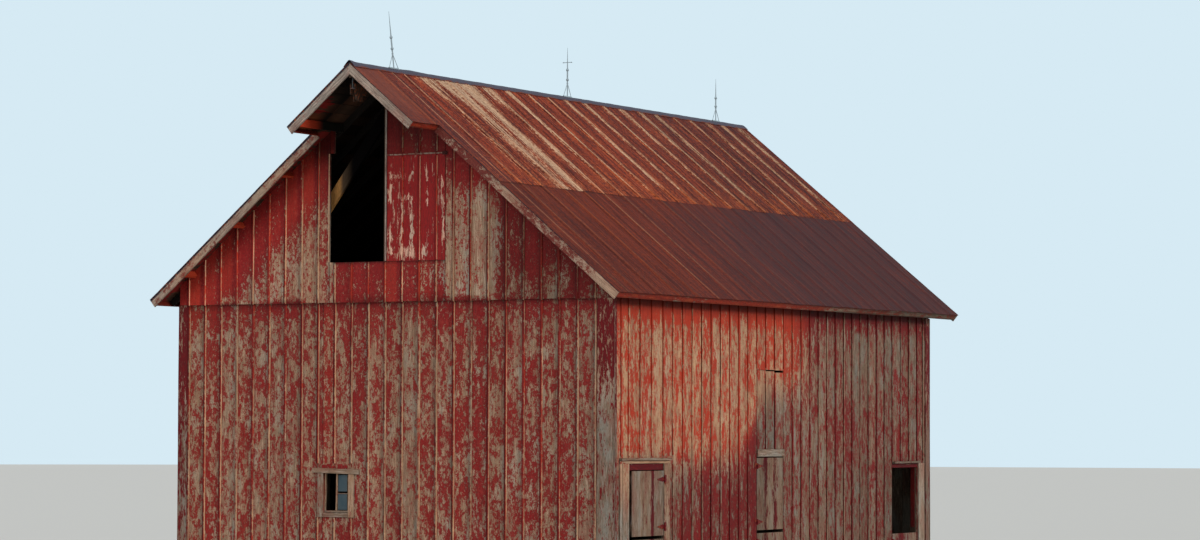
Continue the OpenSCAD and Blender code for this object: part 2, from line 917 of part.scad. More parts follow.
// Notch that the hay track passes through, up to the ridge board
module track_notch() {
    half = track_w / 2 + track_clear;
    span([-half, -siding_t - 1, track_z - track_h - track_clear], [half, 1, ridge_under]);
}

// Notch that the ridge board passes through
module ridge_notch() {
    span([-ridge_t / 2 - fit_gap, -siding_t - 1, ridge_under - fit_gap],
         [ridge_t / 2 + fit_gap, 1, deck_ridge]);
}

// Rear wall below the belt
module rear_wall() {
    color("firebrick")
        from_rear()
            lower_siding();
}

// Rear gable from the belt up to the roof
module rear_gable() {
    color("firebrick")
        from_rear()
            difference() {
                across(-siding_t, siding_t)
                    gable_outline();
                lookout_notches();
                ridge_notch();
            }
}

side_top = rafter_under(half_w) - fit_gap;

// Left wall
module left_wall() {
    color("firebrick")
        from_front()
            span([-half_w, siding_t, siding_z], [-inner_x, barn_l - siding_t, side_top]);
}

// Doorways of the right wall: place along the wall, width, height in the siding, clear height
function side_doorways() = [
    [front_door_y, front_door_w, front_door_z, front_leaf_z + side_gap],
    [middle_door_y, middle_door_w, middle_door_z, middle_door_z],
    [rear_door_y, rear_door_w, rear_door_z + rear_head_h, rear_door_z]
];

// A piece of siding of the right wall
module right_siding(y0, y1, z0, z1) {
    span([inner_x, y0, z0], [half_w, y1, z1]);
}

// Right wall beside the doorways
module right_wall() {
    d = side_doorways();
    color("firebrick")
        from_front() {
            right_siding(siding_t, d[0][0], siding_z, side_top);
            right_siding(d[0][0] + d[0][1], d[1][0], siding_z, side_top);
            right_siding(d[1][0] + d[1][1], d[2][0], siding_z, side_top);
            right_siding(d[2][0] + d[2][1], barn_l - siding_t, siding_z, side_top);
        }
}

// Right wall above the doorways, the middle piece above the mow door
module right_wall_over_doors() {
    d = side_doorways();
    color("firebrick")
        from_front() {
            right_siding(d[0][0], d[0][0] + d[0][1], d[0][2], side_top);
            right_siding(d[1][0], d[1][0] + d[1][1], mow_top_z, side_top);
            right_siding(d[2][0], d[2][0] + d[2][1], d[2][2], side_top);
        }
}

// Trim on the siding: corner boards, door casings with headers and drip caps, and the board
// under the mow door; boards that meet keep a gap
module trim_boards() {
    color("rosybrown") {
        from_front() {
            corner_board(corner_w, corner_side_w);
            mirror([1, 0, 0])
                corner_board(corner_left_w, corner_side_w);
        }
        from_rear()
            both_sides()
                corner_board(corner_left_w, corner_rear_w);
        from_front() {
            front_door_trim();
            rear_door_trim();
            casing(middle_door_y, middle_door_y + middle_door_w, mow_sill_z - mow_board_h, mow_sill_z);
        }
    }
}

module corner_board(w, side_w) {
    top = belt_z - belt_lap - fit_gap;
    span([half_w - w, -casing_t, siding_z], [half_w + casing_t, 0, top]);
    span([half_w, board_gap, siding_z], [half_w + casing_t, side_w, top]);
}

// A board on the face of the right wall
module casing(y0, y1, z0, z1) {
    span([half_w, y0, z0], [half_w + casing_t, y1, z1]);
}

module front_door_trim() {
    end = front_door_y + front_door_w;
    head_z = front_door_z + board_gap;
    cap_z = head_z + head_casing_h + board_gap;
    casing(front_door_y - casing_near_w, front_door_y, siding_z, front_door_z);
    casing(end, end + casing_far_w, siding_z, front_door_z);
    casing(front_door_y - casing_near_w, end + casing_far_w, head_z, cap_z - board_gap);
    span([half_w, front_door_y - casing_near_w, cap_z],
         [half_w + drip_out, end + casing_far_w, cap_z + drip_h]);
    span([inner_x, front_door_y, front_leaf_z + side_gap], [half_w - fit_gap, end, front_door_z]);
}

module rear_door_trim() {
    end = rear_door_y + rear_door_w;
    head_z = rear_door_z + rear_head_h;
    casing(end + casing_rear_in, end + casing_rear_in + casing_rear_w, siding_z, head_z);
    span([inner_x, rear_door_y, rear_door_z], [half_w - fit_gap, end, head_z]);
    span([half_w, rear_door_y, head_z + board_gap],
         [half_w + drip_out, end + casing_rear_in, head_z + board_gap + drip_h]);
}

// Frame round the window: jambs, head and sill, with casings and a head board outside
module window_frame() {
    rough = sash_w / 2 + jamb_t + leaf_gap / 2;
    clear = sash_w / 2 + leaf_gap / 2;
    top = sash_z + sash_h + leaf_gap / 2;
    color("rosybrown")
        from_front()
            translate([-window_x, 0, 0])
                difference() {
                    union() {
                        span([-rough, 0, sash_z - window_sill_h], [rough, jamb_d, top + jamb_t]);
                        span([-clear - window_casing_w, -casing_t, sash_z - window_sill_h],
                             [clear + window_casing_w, 0, top]);
                        span([-clear - window_casing_w - window_head_out, -casing_t * 1.5, top],
                             [clear + window_casing_w + window_head_out, 0, top + window_head_h]);
                    }
                    span([-clear, -casing_t - 1, sash_z], [clear, jamb_d + 1, top]);
                }
}

// Sash of four lights
sash_y = 10;
light_w = (sash_w - 2 * stile_w - bar_w) / 2;
light_h = (sash_h - 2 * stile_w - bar_w) / 2;

// Sash with two lights in its right half; in the left half the bar between them is gone
module window_sash() {
    color("gray")
        from_front()
            translate([-window_x - sash_w / 2, sash_y, sash_z + 0.3])
                difference() {
                    cube([sash_w, sash_t, sash_h]);
                    translate([stile_w, -1, stile_w])
                        cube([light_w, sash_t + 2, sash_h - 2 * stile_w]);
                    for (j = [0:1])
                        translate([stile_w + light_w + bar_w, -1, stile_w + j * (light_h + bar_w)])
                            cube([light_w, sash_t + 2, light_h]);
                }
}

// The two panes that are left, in the right half of the sash
module window_glass() {
    color("lightblue")
        from_front()
            translate([-window_x - sash_w / 2, sash_y + (sash_t - glass_t) / 2, sash_z + 0.3])
                for (j = [0:1])
                    translate([stile_w + light_w + bar_w, 0, stile_w + j * (light_h + bar_w)])
                        cube([light_w, glass_t, light_h]);
}

// Right half of the hay door, fixed shut, with ledges on its back
module hay_door() {
    x0 = -hay_stud_x + leaf_gap / 8;
    x1 = hay_right - leaf_gap;
    color("crimson")
        from_front() {
            span([x0, -siding_t, hay_sill_z + fit_gap], [x1, 0, hay_door_top - leaf_gap]);
            for (z = [hay_sill_z + ledge_h, hay_door_top - 2 * ledge_h])
                span([x0 + leaf_gap, 0, z], [x1 - leaf_gap, ledge_t, z + ledge_h]);
        }
}

// Upper door into the hay mow, fixed shut
module mow_door() {
    y0 = middle_door_y + leaf_gap;
    y1 = middle_door_y + middle_door_w - leaf_gap;
    top = mow_top_z - mow_top_gap;
    color("crimson")
        from_front() {
            span([inner_x, y0, mow_sill_z + fit_gap], [half_w, y1, top]);
            for (z = [mow_sill_z + ledge_h, top - 2 * ledge_h])
                span([inner_x - ledge_t, y0 + leaf_gap, z], [inner_x, y1 - leaf_gap, z + ledge_h]);
        }
}

// A leaf from y0 to y1 and z0 to z1 with its outer face at x, and two ledges on its back
module leaf(x, y0, y1, z0, z1) {
    span([x - leaf_t, y0, z0], [x, y1, z1]);
    for (z = [z0 + strap_inset, z1 - strap_inset])
        span([x - leaf_t - ledge_t, y0 + side_gap, z - ledge_h / 2],
             [x - leaf_t, y1 - side_gap, z + ledge_h / 2]);
}

// Places of the leaves: the cased doors stand in the plane of their casings
front_face = half_w + casing_t;
front_leaf_y0 = front_door_y + front_latch_gap;
front_leaf_y1 = front_door_y + front_door_w - side_gap;
middle_leaf_y0 = middle_door_y + side_gap;
middle_leaf_y1 = middle_door_y + middle_door_w - side_gap;
rear_leaf_y0 = rear_door_y + side_gap;
rear_leaf_y1 = rear_door_y + rear_door_w - side_gap;

module front_door_upper() {
    color("crimson")
        from_front()
            leaf(front_face, front_leaf_y0, front_leaf_y1, split_z, front_leaf_z);
}

module front_door_lower() {
    color("crimson")
        from_front()
            leaf(front_face, front_leaf_y0, front_leaf_y1, leaf_floor, lower_leaf_top);
}

module middle_door_upper() {
    color("crimson")
        from_front()
            leaf(half_w, middle_leaf_y0, middle_leaf_y1, split_z, middle_leaf_z);
}

module middle_door_lower() {
    color("crimson")
        from_front()
            leaf(half_w, middle_leaf_y0, middle_leaf_y1, leaf_floor, lower_leaf_top);
}

module rear_door_lower() {
    color("crimson")
        from_front()
            leaf(half_w, rear_leaf_y0, rear_leaf_y1, leaf_floor, rear_leaf_z);
}

// Heights of the two straps of a leaf from z0 to z1
function strap_heights(z0, z1) = [z0 + strap_inset, z1 - strap_inset];

// Places of the pins, from the front wall: halfway between a leaf and the side of its opening
front_pin_y = front_leaf_y1 + side_gap / 2;
middle_pin_y = middle_leaf_y0 - side_gap / 2;
rear_pin_y = rear_leaf_y0 - side_gap / 2;

// A strap with its eye round a pin: the pin is at the origin, the leaf lies towards +Y
module strap() {
    difference() {
        union() {
            translate([0, 0, -eye_h / 2])
                cylinder(r = knuckle_r, h = eye_h);
            translate([-pin_off, 0, -eye_h / 2])
                cube([pin_off, knuckle_r + 4, eye_h]);
            translate([-pin_off + strap_t, 0, 0])
                rotate([0, -90, 0])
                    linear_extrude(strap_t)
                        polygon([
                            [-eye_h / 2, 0], [-eye_h / 2, knuckle_r + side_gap / 2],
                            [-strap_h / 2, 3 * knuckle_r], [-strap_tip_h / 2, strap_len],
                            [strap_tip_h / 2, strap_len], [strap_h / 2, 3 * knuckle_r],
                            [eye_h / 2, knuckle_r + side_gap / 2], [eye_h / 2, 0]
                        ]);
        }
        translate([0, 0, -eye_h])
            cylinder(r = pin_r + pin_gap, h = 2 * eye_h);
    }
}

// The fixed part of a hinge: pin, two knuckles and the plate beside the doorway
module hinge_plate() {
    reach = eye_h / 2 + pin_gap + knuckle_h;
    difference() {
        union() {
            translate([0, 0, -reach])
                cylinder(r = pin_r, h = 2 * reach);
            for (z = [-reach, reach - knuckle_h])
                translate([0, 0, z]) {
                    cylinder(r = knuckle_r, h = knuckle_h);
                    translate([-pin_off, -knuckle_r - 4, 0])
                        cube([pin_off, knuckle_r + 4, knuckle_h]);
                }
            translate([-pin_off, -plate_w, -plate_tall / 2])
                cube([strap_t, plate_w - side_gap / 2, plate_tall]);
        }
        translate([-pin_off - 1, -knuckle_r - side_gap, -eye_h / 2 - pin_gap])
            cube([pin_off - pin_r + 1, knuckle_r + 2 * side_gap, eye_h + 2 * pin_gap]);
        translate([-pin_off - 1, -side_gap / 2, -2 * reach])
            cube([strap_t + 2, side_gap * 3, 4 * reach]);
    }
}

// Children at each strap of a leaf: dir is 1 where the leaf lies towards +Y from its pins
module at_straps(face, pin_y, dir, z0, z1) {
    from_front()
        for (z = strap_heights(z0, z1))
            translate([face + pin_off, pin_y, z])
                mirror([0, dir < 0 ? 1 : 0, 0])
                    children();
}

module front_upper_straps() {
    color("indianred")
        at_straps(front_face, front_pin_y, -1, split_z, front_leaf_z)
            strap();
}

module front_lower_straps() {
    color("indianred")
        at_straps(front_face, front_pin_y, -1, leaf_floor, lower_leaf_top)
            strap();
}

module middle_upper_straps() {
    color("indianred")
        at_straps(half_w, middle_pin_y, 1, split_z, middle_leaf_z)
            strap();
}

module middle_lower_straps() {
    color("indianred")
        at_straps(half_w, middle_pin_y, 1, leaf_floor, lower_leaf_top)
            strap();
}

module rear_lower_straps() {
    color("indianred")
        at_straps(half_w, rear_pin_y, 1, leaf_floor, rear_leaf_z)
            strap();
}

// All the fixed hinge parts
module hinge_plates() {
    color("dimgray") {
        at_straps(front_face, front_pin_y, -1, split_z, front_leaf_z)
            hinge_plate();
        at_straps(front_face, front_pin_y, -1, leaf_floor, lower_leaf_top)
            hinge_plate();
        at_straps(half_w, middle_pin_y, 1, split_z, middle_leaf_z)
            hinge_plate();
        at_straps(half_w, middle_pin_y, 1, leaf_floor, lower_leaf_top)
            hinge_plate();
        at_straps(half_w, rear_pin_y, 1, leaf_floor, rear_leaf_z)
            hinge_plate();
    }
}

// Hay track: a rail of inverted T section on hangers under the ridge board
track_y0 = -hood_out + fascia_t + 60;
track_y1 = barn_l - wall_depth - 60;
hanger_n = ceil((track_y1 - track_y0 - hanger_w) / hanger_spacing);

module hay_track() {
    color("dimgray")
        from_front() {
            span([-track_w / 2, track_y0, track_z - track_h],
                 [track_w / 2, track_y1, track_z - track_h + track_t]);
            span([-track_t / 2, track_y0, track_z - track_h], [track_t / 2, track_y1, track_z]);
            for (i = [0:hanger_n]) {
                y = track_y0 + (track_y1 - track_y0 - hanger_w) * i / hanger_n;
                span([-track_t / 2, y, track_z - track_t],
                     [track_t / 2, y + hanger_w, ridge_under - fit_gap]);
            }
        }
}

// Hay carrier: two side plates with wheels on the rail, and a rope sheave between them
carrier_y = -hood_out + carrier_in;
plate_x = track_w / 2 + 4;
carrier_t = 6;
sheave_z = track_z - track_h - carrier_wheel_r - sheave_r - 20;

module hay_carrier() {
    color("brown")
        from_front()
            translate([0, carrier_y, 0]) {
                both_sides() {
                    span([plate_x, 0, sheave_z + sheave_r * 0.4],
                         [plate_x + carrier_t, carrier_len, track_z - track_h + carrier_wheel_r * 2 + 10]);
                    span([plate_x, carrier_len / 2 - sheave_r, sheave_z - sheave_r - 15],
                         [plate_x + carrier_t, carrier_len / 2 + sheave_r, sheave_z + sheave_r]);
                    for (y = [carrier_len * 0.2, carrier_len * 0.8])
                        translate([track_t, y, track_z - track_h + track_t + carrier_wheel_r + 0.3])
                            rotate([0, 90, 0])
                                cylinder(r = carrier_wheel_r, h = plate_x - track_t + 1);
                }
                translate([-plate_x - 1, carrier_len / 2, sheave_z])
                    rotate([0, 90, 0])
                        cylinder(r = 10, h = 2 * plate_x + 2);
                translate([0, carrier_len / 2, sheave_z])
                    rotate([0, 90, 0])
                        rotate_extrude()
                            polygon([
                                [0, -20], [sheave_r, -20], [sheave_r, -14], [sheave_r - 14, 0],
                                [sheave_r, 14], [sheave_r, 20], [0, 20]
                            ]);
            }
}

// Lightning rods on the ridge cap, each with a foot, two legs and two balls; the first one leans
cap_top = deck_ridge + (3 * sheet_t + crimp_h + 2 * lap_gap) / roof_cos;

rod_mid_y = (rod_front + barn_l - rod_rear) / 2;

module lightning_rods() {
    color("dimgray")
        from_front() {
            lightning_rod(rod_front, rod_h + rod_step, rod_lean);
            lightning_rod(rod_mid_y, rod_h, 0);
            translate([0, rod_mid_y, cap_top + arm_z])
                rotate([0, 90, 0])
                    rotate_extrude()
                        polygon([
                            [0, -arm_half], [2 * leg_r, 5 * leg_r - arm_half], [leg_r, 7 * leg_r - arm_half],
                            [leg_r, arm_half - 7 * leg_r], [2 * leg_r, arm_half - 5 * leg_r], [0, arm_half]
                        ]);
            lightning_rod(barn_l - rod_rear, rod_h - rod_step, 0);
        }
}

// Half outline of a ball on a rod at height z
function ball_points(z) = [for (a = [-60:20:60]) [ball_r * cos(a), z + ball_r * sin(a)]];

module lightning_rod(y, h, lean) {
    foot_half = leg_spread + 3 * leg_r;
    foot_w = 4 * leg_r;
    translate([0, y, cap_top]) {
        across(-foot_half, 2 * foot_half)
            polygon([
                [0, rod_foot], [foot_w, rod_foot - foot_w * roof_tan], [foot_w, -foot_w * roof_tan],
                [0, 0], [-foot_w, -foot_w * roof_tan], [-foot_w, rod_foot - foot_w * roof_tan]
            ]);
        rotate([lean, 0, 0])
            rotate_extrude()
                polygon(concat(
                    [[0, rod_foot / 2], [rod_r, rod_foot / 2], [rod_r, leg_h - collar_h],
                     [rod_r + leg_r, leg_h - collar_h], [rod_r + leg_r, leg_h], [rod_r, leg_h]],
                    ball_points(0.34 * h), ball_points(0.54 * h),
                    [[rod_r, 0.6 * h], [rod_r / 4, h], [0, h]]
                ));
        for (a = [-1, 1])
            leg(a * leg_spread, lean);
    }
}

// A leg from the foot at y up to the middle of the rod's collar
module leg(y, lean) {
    collar_z = (leg_h - collar_h / 2) * cos(lean);
    run = -(leg_h - collar_h / 2) * sin(lean) - y;
    rise = collar_z - rod_foot / 2;
    translate([0, y, rod_foot / 2])
        rotate([-atan2(run, rise), 0, 0])
            cylinder(r = leg_r, h = norm([run, rise]));
}

foundation();
sills();
posts();
girts();
wall_plates();
tie_beams();
braces();
wall_studs();
loft_girders();
loft_joists();
loft_floor();
rafters();
ridge_board();
lookouts();
roof_boards();
roof_sheets();
ridge_cap();
rake_boards();
eave_boards();
front_wall();
front_gable();
rear_wall();
rear_gable();
left_wall();
right_wall();
right_wall_over_doors();
trim_boards();
window_frame();
window_sash();
window_glass();
hay_door();
mow_door();
front_door_upper();
front_door_lower();
middle_door_upper();
middle_door_lower();
rear_door_lower();
front_upper_straps();
front_lower_straps();
middle_upper_straps();
middle_lower_straps();
rear_lower_straps();
hinge_plates();
hay_track();
hay_carrier();
lightning_rods();
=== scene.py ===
"""Dresses the hay barn: its siding, doors, trim, roof metal, timbers, iron and the stage."""

import math

import bpy
import numpy as np
from bpy.props import FloatProperty, FloatVectorProperty, PointerProperty
from mathutils import Matrix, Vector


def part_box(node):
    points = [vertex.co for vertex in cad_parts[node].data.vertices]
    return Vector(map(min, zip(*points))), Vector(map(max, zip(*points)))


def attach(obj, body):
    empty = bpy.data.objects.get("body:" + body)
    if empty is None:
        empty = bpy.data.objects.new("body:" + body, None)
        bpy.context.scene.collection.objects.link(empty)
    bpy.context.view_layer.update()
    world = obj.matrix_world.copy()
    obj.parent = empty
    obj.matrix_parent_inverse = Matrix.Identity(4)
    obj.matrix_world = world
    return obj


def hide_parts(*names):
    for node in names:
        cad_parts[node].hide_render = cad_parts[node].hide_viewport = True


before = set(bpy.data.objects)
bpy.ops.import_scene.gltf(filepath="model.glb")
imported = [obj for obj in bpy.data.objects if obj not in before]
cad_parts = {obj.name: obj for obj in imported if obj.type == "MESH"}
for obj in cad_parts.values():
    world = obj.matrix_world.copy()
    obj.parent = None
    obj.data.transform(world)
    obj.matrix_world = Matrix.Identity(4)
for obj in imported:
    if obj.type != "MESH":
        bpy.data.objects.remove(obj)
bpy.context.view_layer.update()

bl_info = {
    "name": "Hay Barn",
    "version": (1, 0, 0),
    "blender": (4, 5, 0),
    "location": "3D View > Sidebar > Barn",
    "description": "Boards, doors, roof metal, timbers, iron and stage of a hay barn",
    "category": "Object",
}

# Main places, in metres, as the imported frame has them
HALF_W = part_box("front_wall")[1].x
FRONT_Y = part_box("front_wall")[0].y
REAR_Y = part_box("rear_wall")[1].y
LONG = REAR_Y - FRONT_Y
WALL_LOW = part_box("left_wall")[0].z
WALL_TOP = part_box("left_wall")[1].z
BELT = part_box("front_gable")[0].z

# The roof: its pitch, half the ridge board's thickness, how far the eaves, the hood's sides, the hood, the
# front rake and the rear rake stand out, and the thickness of the roof boards
SLOPE = math.radians(39.3)
TAN, COS, SIN = math.tan(SLOPE), math.cos(SLOPE), math.sin(SLOPE)
RIDGE_HALF = 0.02
EAVE_OUT, HOOD_HALF, HOOD_OUT, RAKE_OUT, TAIL_OUT = 0.31, 1.14, 1.115, 0.39, 0.565
DECK_T = 0.022
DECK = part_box("ridge_board")[1].z + DECK_T / COS + RIDGE_HALF * TAN
SLOPE_LEN = (HALF_W + EAVE_OUT) / COS
HOOD_LEN = HOOD_HALF / COS
HOOD_Y = FRONT_Y - HOOD_OUT
RAKE_Y = FRONT_Y - RAKE_OUT
TAIL_Y = REAR_Y + TAIL_OUT
ABOVE_ROOF = 9.0

# Thickness of the siding, and of the casings and rake boards
SIDING = 0.025
CASING = 0.022

# Battens across a gable, and the place of the first
GABLE_BATTENS = 25
FIRST_BATTEN = -3.784

# Board edges at the sides of the hay opening, its sill, its head and the higher head at its left end
OPENING = (-1.09, 1.03, 5.179, 6.80, 6.87)

# Runs of boards along the right wall: from, to and how many. The second, fourth and sixth are the doorways,
# where the boards start at these heights
SIDE_RUNS = ((0.0, 0.44, 2), (0.44, 1.49, 3), (1.49, 4.53, 10), (4.53, 5.45, 3), (5.45, 9.50, 13),
             (9.50, 10.49, 3), (10.49, 10.97, 2))
DOOR_HEADS = {1: 2.121, 3: 3.576, 5: 2.051}

# Scene-linear colours: painted shade on rafters, lookouts and braces, where hardly any light reaches; dark
# floor seams
SHADED_WOOD = (0.006, 0.005, 0.004)
BRACE_SHADE = (0.003, 0.0025, 0.0025)
SEAM = (0.01, 0.008, 0.006)

# The floor's radius, its number of sides and how far it lies below the barn, how far the camera sees, and the
# width of its picture in millimetres
FLOOR_RADIUS, FLOOR_SIDES, FLOOR_DROP = 170, 96, 0.001
SIGHT = 600.0
PICTURE_WIDTH = 36.0

UP = (0.0, 0.0, 1.0)
SIDEWAYS = (1.0, 0.0, 0.0)
REARWARD = (0.0, 1.0, 0.0)


def linear(red, green, blue):
    """Scene-linear colour of three display values: each is scaled to one and raised by the display curve."""
    return tuple(((c / 255 + 0.055) / 1.055) ** 2.4 if c > 10 else c / 3294.6 for c in (red, green, blue))


def smooth(low, high, value):
    """Three t squared less two t cubed, where t runs from 0 at low to 1 at high."""
    t = np.clip((value - low) / (high - low), 0.0, 1.0)
    return t * t * (3.0 - 2.0 * t)


def patch(x, z, mid_x, mid_z, wide, tall):
    """A round hill: one at the middle, and e to the minus squared distance away from it."""
    return np.exp(-((x - mid_x) / wide) ** 2 - ((z - mid_z) / tall) ** 2)


# Sizes and colours


def colour(name, description, *values):
    """A colour that a user may change. Its default is given as display values, from 0 to 255."""
    return FloatVectorProperty(name=name, description=description, default=linear(*values), subtype="COLOR",
                               size=3, min=0.0, max=1.0)


def length(name, description, default):
    """A length in metres that a user may change."""
    return FloatProperty(name=name, description=description, default=default, min=0.0, unit="LENGTH",
                         precision=4)


def brightness(name, description, default):
    """A lamp's or the world's strength that a user may change."""
    return FloatProperty(name=name, description=description, default=default, min=0.0)


def angle(name, description, degrees):
    """An angle that a user may change."""
    return FloatProperty(name=name, description=description, default=math.radians(degrees), subtype="ANGLE")


class BarnBoardSizes(bpy.types.PropertyGroup):
    """Sizes of the siding boards and of the battens over their joints."""

    pitch: length("Batten pitch", "Distance between the middles of two battens on the gables", 0.3098)
    batten_w: length("Batten width", "Width of a batten", 0.044)
    batten_t: length("Batten thickness", "Thickness of a batten", 0.017)
    gap: length("Board gap", "Gap between two boards behind their batten", 0.004)
    chamfer: length("Worn edge", "Width of the worn edge along a board", 0.0025)
    cup: length("Cup", "How far a board's middle stands proud of its edges", 0.0012)
    bow: length("Bow", "How far a board leaves its plane along its length", 0.0012)
    ragged: length("Ragged ends", "How far board ends differ from a straight line", 0.005)
    station: length("Station", "Distance between the sections that carry a board along", 0.2)
    roof_board: length("Roof board", "Rough width of a roof board", 0.2)


class BarnColours(bpy.types.PropertyGroup):
    """Colours of paint, bare wood and metals."""

    red: colour("Red paint", "Barn paint where it is sound", 130, 29, 27)
    deep: colour("Deep red", "Barn paint in damp and shaded places", 90, 17, 21)
    faded: colour("Faded red", "Barn paint that is chalky", 150, 64, 54)
    # Sunned red and tan also give painted sunlight: the right wall's front, batten edges and lookouts
    sunned: colour("Sunned red", "Barn paint that the sun has turned to orange", 172, 56, 32)
    scrape: colour("Scraped paint", "Pale wood where the hay door was scraped", 216, 170, 154)
    stain: colour("Stained wood", "Wood that has kept some paint in its grain", 128, 76, 62)
    wood_dark: colour("Dark wood", "Bare wood in its grain lines", 94, 80, 68)
    wood: colour("Bare wood", "Weathered bare wood", 138, 117, 97)
    wood_pale: colour("Pale wood", "Bare wood where it is brightest", 186, 164, 146)
    tan: colour("Tan wood", "Bare wood that is still warm in colour", 196, 146, 106)
    grey_wood: colour("Grey wood", "Bare wood that has turned grey green in the weather", 138, 136, 126)
    rake_red: colour("Rake red", "Old paint left on the rake boards", 112, 56, 48)
    rake_wood: colour("Rake wood", "Pinkish grey bare wood of the rake boards", 166, 152, 144)
    orange_paint: colour("Orange paint", "Faded red lead paint on the eave boards", 150, 52, 30)
    # Frame timber is kept dark, partly aged wood and partly painted shade for the dim inside
    timber: colour("Frame timber", "Timber inside the barn", 78, 61, 46)
    timber_dark: colour("Dark timber", "Shaded grain of the timber inside", 40, 33, 28)
    brace: colour("Brace", "Brown wood of the braces", 92, 74, 58)
    # The braces' bright tan ends are painted sunlight
    brace_end: colour("Brace end", "Bright tan wood at the braces' outer ends", 226, 162, 94)
    rust: colour("Rust", "Even brown rust on the roof", 132, 53, 32)
    # Dark rust also gives painted shade in thin lines beside the crimps
    maroon: colour("Dark rust", "Dark maroon rust on the roof", 78, 27, 20)
    # Orange rust also gives the painted sunlight on the roof boards at the hood's left eave
    orange: colour("Orange rust", "Fresh rust on the roof", 164, 82, 44)
    purple: colour("Purple rust", "Cold dark rust to the rear of the roof", 66, 46, 50)
    zinc: colour("Zinc", "Roof metal whose zinc is left", 176, 148, 120)
    slate: colour("Ridge cap", "Blue grey metal of the ridge cap", 66, 58, 72)
    verge: colour("Verge strip", "Dark metal along the rake boards' upper edge", 44, 38, 46)
    iron: colour("Iron", "Dark iron of rods and track", 84, 88, 90)
    iron_rust: colour("Iron rust", "Rust on the iron", 116, 62, 38)
    rod: colour("Rod", "Pale grey metal of the lightning rods", 142, 156, 162)
    carrier: colour("Carrier", "Brown iron of the hay carrier", 70, 54, 44)
    stone: colour("Stone", "Field stone of the foundation", 150, 144, 134)
    mortar: colour("Mortar", "Mortar between the stones", 186, 180, 168)
    pane: colour("Pane", "Old window glass", 62, 84, 94)


class BarnRoofSizes(bpy.types.PropertyGroup):
    """Sizes of the crimped roof sheets."""

    cover: length("Cover", "Width that one sheet covers", 0.61)
    crimp: length("Crimp height", "Height of a crimp above the sheet", 0.012)
    crimp_w: length("Crimp width", "Width of a crimp at its foot", 0.03)
    pair: length("Crimp pair", "Distance between the two crimps at a joint", 0.06)
    sheet_t: length("Sheet", "Thickness of a sheet's edge", 0.0012)
    upper: length("Upper course", "Length of the upper sheets down the slope", 2.88)
    lap: length("Lap", "How far the upper sheets lap over the lower ones", 0.12)


class BarnStageSettings(bpy.types.PropertyGroup):
    """Camera, light and floor."""

    lens: FloatProperty(name="Lens", description="Focal length on a 36 mm wide picture", default=103.53,
                        min=10.0, unit="CAMERA")
    eye: FloatVectorProperty(name="Camera place", description="Where the camera stands", size=3,
                             default=(29.279, -49.094, 2.70), subtype="TRANSLATION", unit="LENGTH")
    turn: angle("Turn", "Camera's turn to the left of straight ahead", 30.2149)
    tilt: angle("Tilt", "Camera's tilt upwards", 2.5622)
    roll: angle("Roll", "Camera's roll", 0.1864)
    sun: brightness("Main light", "Strength of the low soft light from the right", 1.7)
    fill: brightness("Fill light", "Strength of the broad light from the front and above", 1.35)
    sky: brightness("Sky light", "Strength of the even light all round", 0.46)
    tint: FloatVectorProperty(name="Sky colour", description="Colour of the even light all round", size=3,
                              default=(0.96, 0.98, 1.0), subtype="COLOR", min=0.0, max=1.0)
    backdrop: colour("Backdrop", "Colour behind the barn", 214, 234, 244)
    floor: colour("Floor", "Colour of the floor", 206, 206, 202)


# Node trees


class Nodes:
    """A node tree and short ways to add nodes to it. Inputs are plain values or other nodes' outputs."""

    def __init__(self, tree):
        self.tree = tree
        tree.nodes.clear()

    def add(self, kind, inputs=None, **settings):
        """Adds a node of this kind, with these inputs and settings."""
        node = self.tree.nodes.new(kind)
        for key, value in settings.items():
            setattr(node, key, value)
        for key, value in (inputs or {}).items():
            self.put(node.inputs[key], value)
        return node

    def put(self, socket, value):
        """Links an output to a socket, or gives the socket a value."""
        if isinstance(value, bpy.types.NodeSocket):
            self.tree.links.new(value, socket)
        elif socket.type == "RGBA" and len(value) == 3:
            socket.default_value = (*value, 1.0)
        else:
            socket.default_value = value

    def math(self, operation, *values, clamp=False):
        """The operation's result, kept between 0 and 1 where clamp is on."""
        node = self.add("ShaderNodeMath", dict(enumerate(values)), operation=operation, use_clamp=clamp)
        return node.outputs[0]

    def plus(self, a, b):
        """a and b added."""
        return self.math("ADD", a, b)

    def less(self, a, b):
        """a less b."""
        return self.math("SUBTRACT", a, b)

    def times(self, a, b, clamp=False):
        """a times b."""
        return self.math("MULTIPLY", a, b, clamp=clamp)

    def line(self, value, slope, start, clamp=False):
        """Start plus slope times the value."""
        return self.math("MULTIPLY_ADD", value, slope, start, clamp=clamp)

    def unsigned(self, value):
        """The value without its sign."""
        return self.math("ABSOLUTE", value)

    def weighted(self, *pairs):
        """The sum of values times their weights."""
        *first, (value, weight) = pairs
        total = self.times(value, weight)
        for value, weight in reversed(first):
            total = self.line(value, weight, total)
        return total

    def vector(self, operation, a, b):
        """The operation's result on two vectors."""
        return self.add("ShaderNodeVectorMath", {0: a, 1: b}, operation=operation).outputs[0]


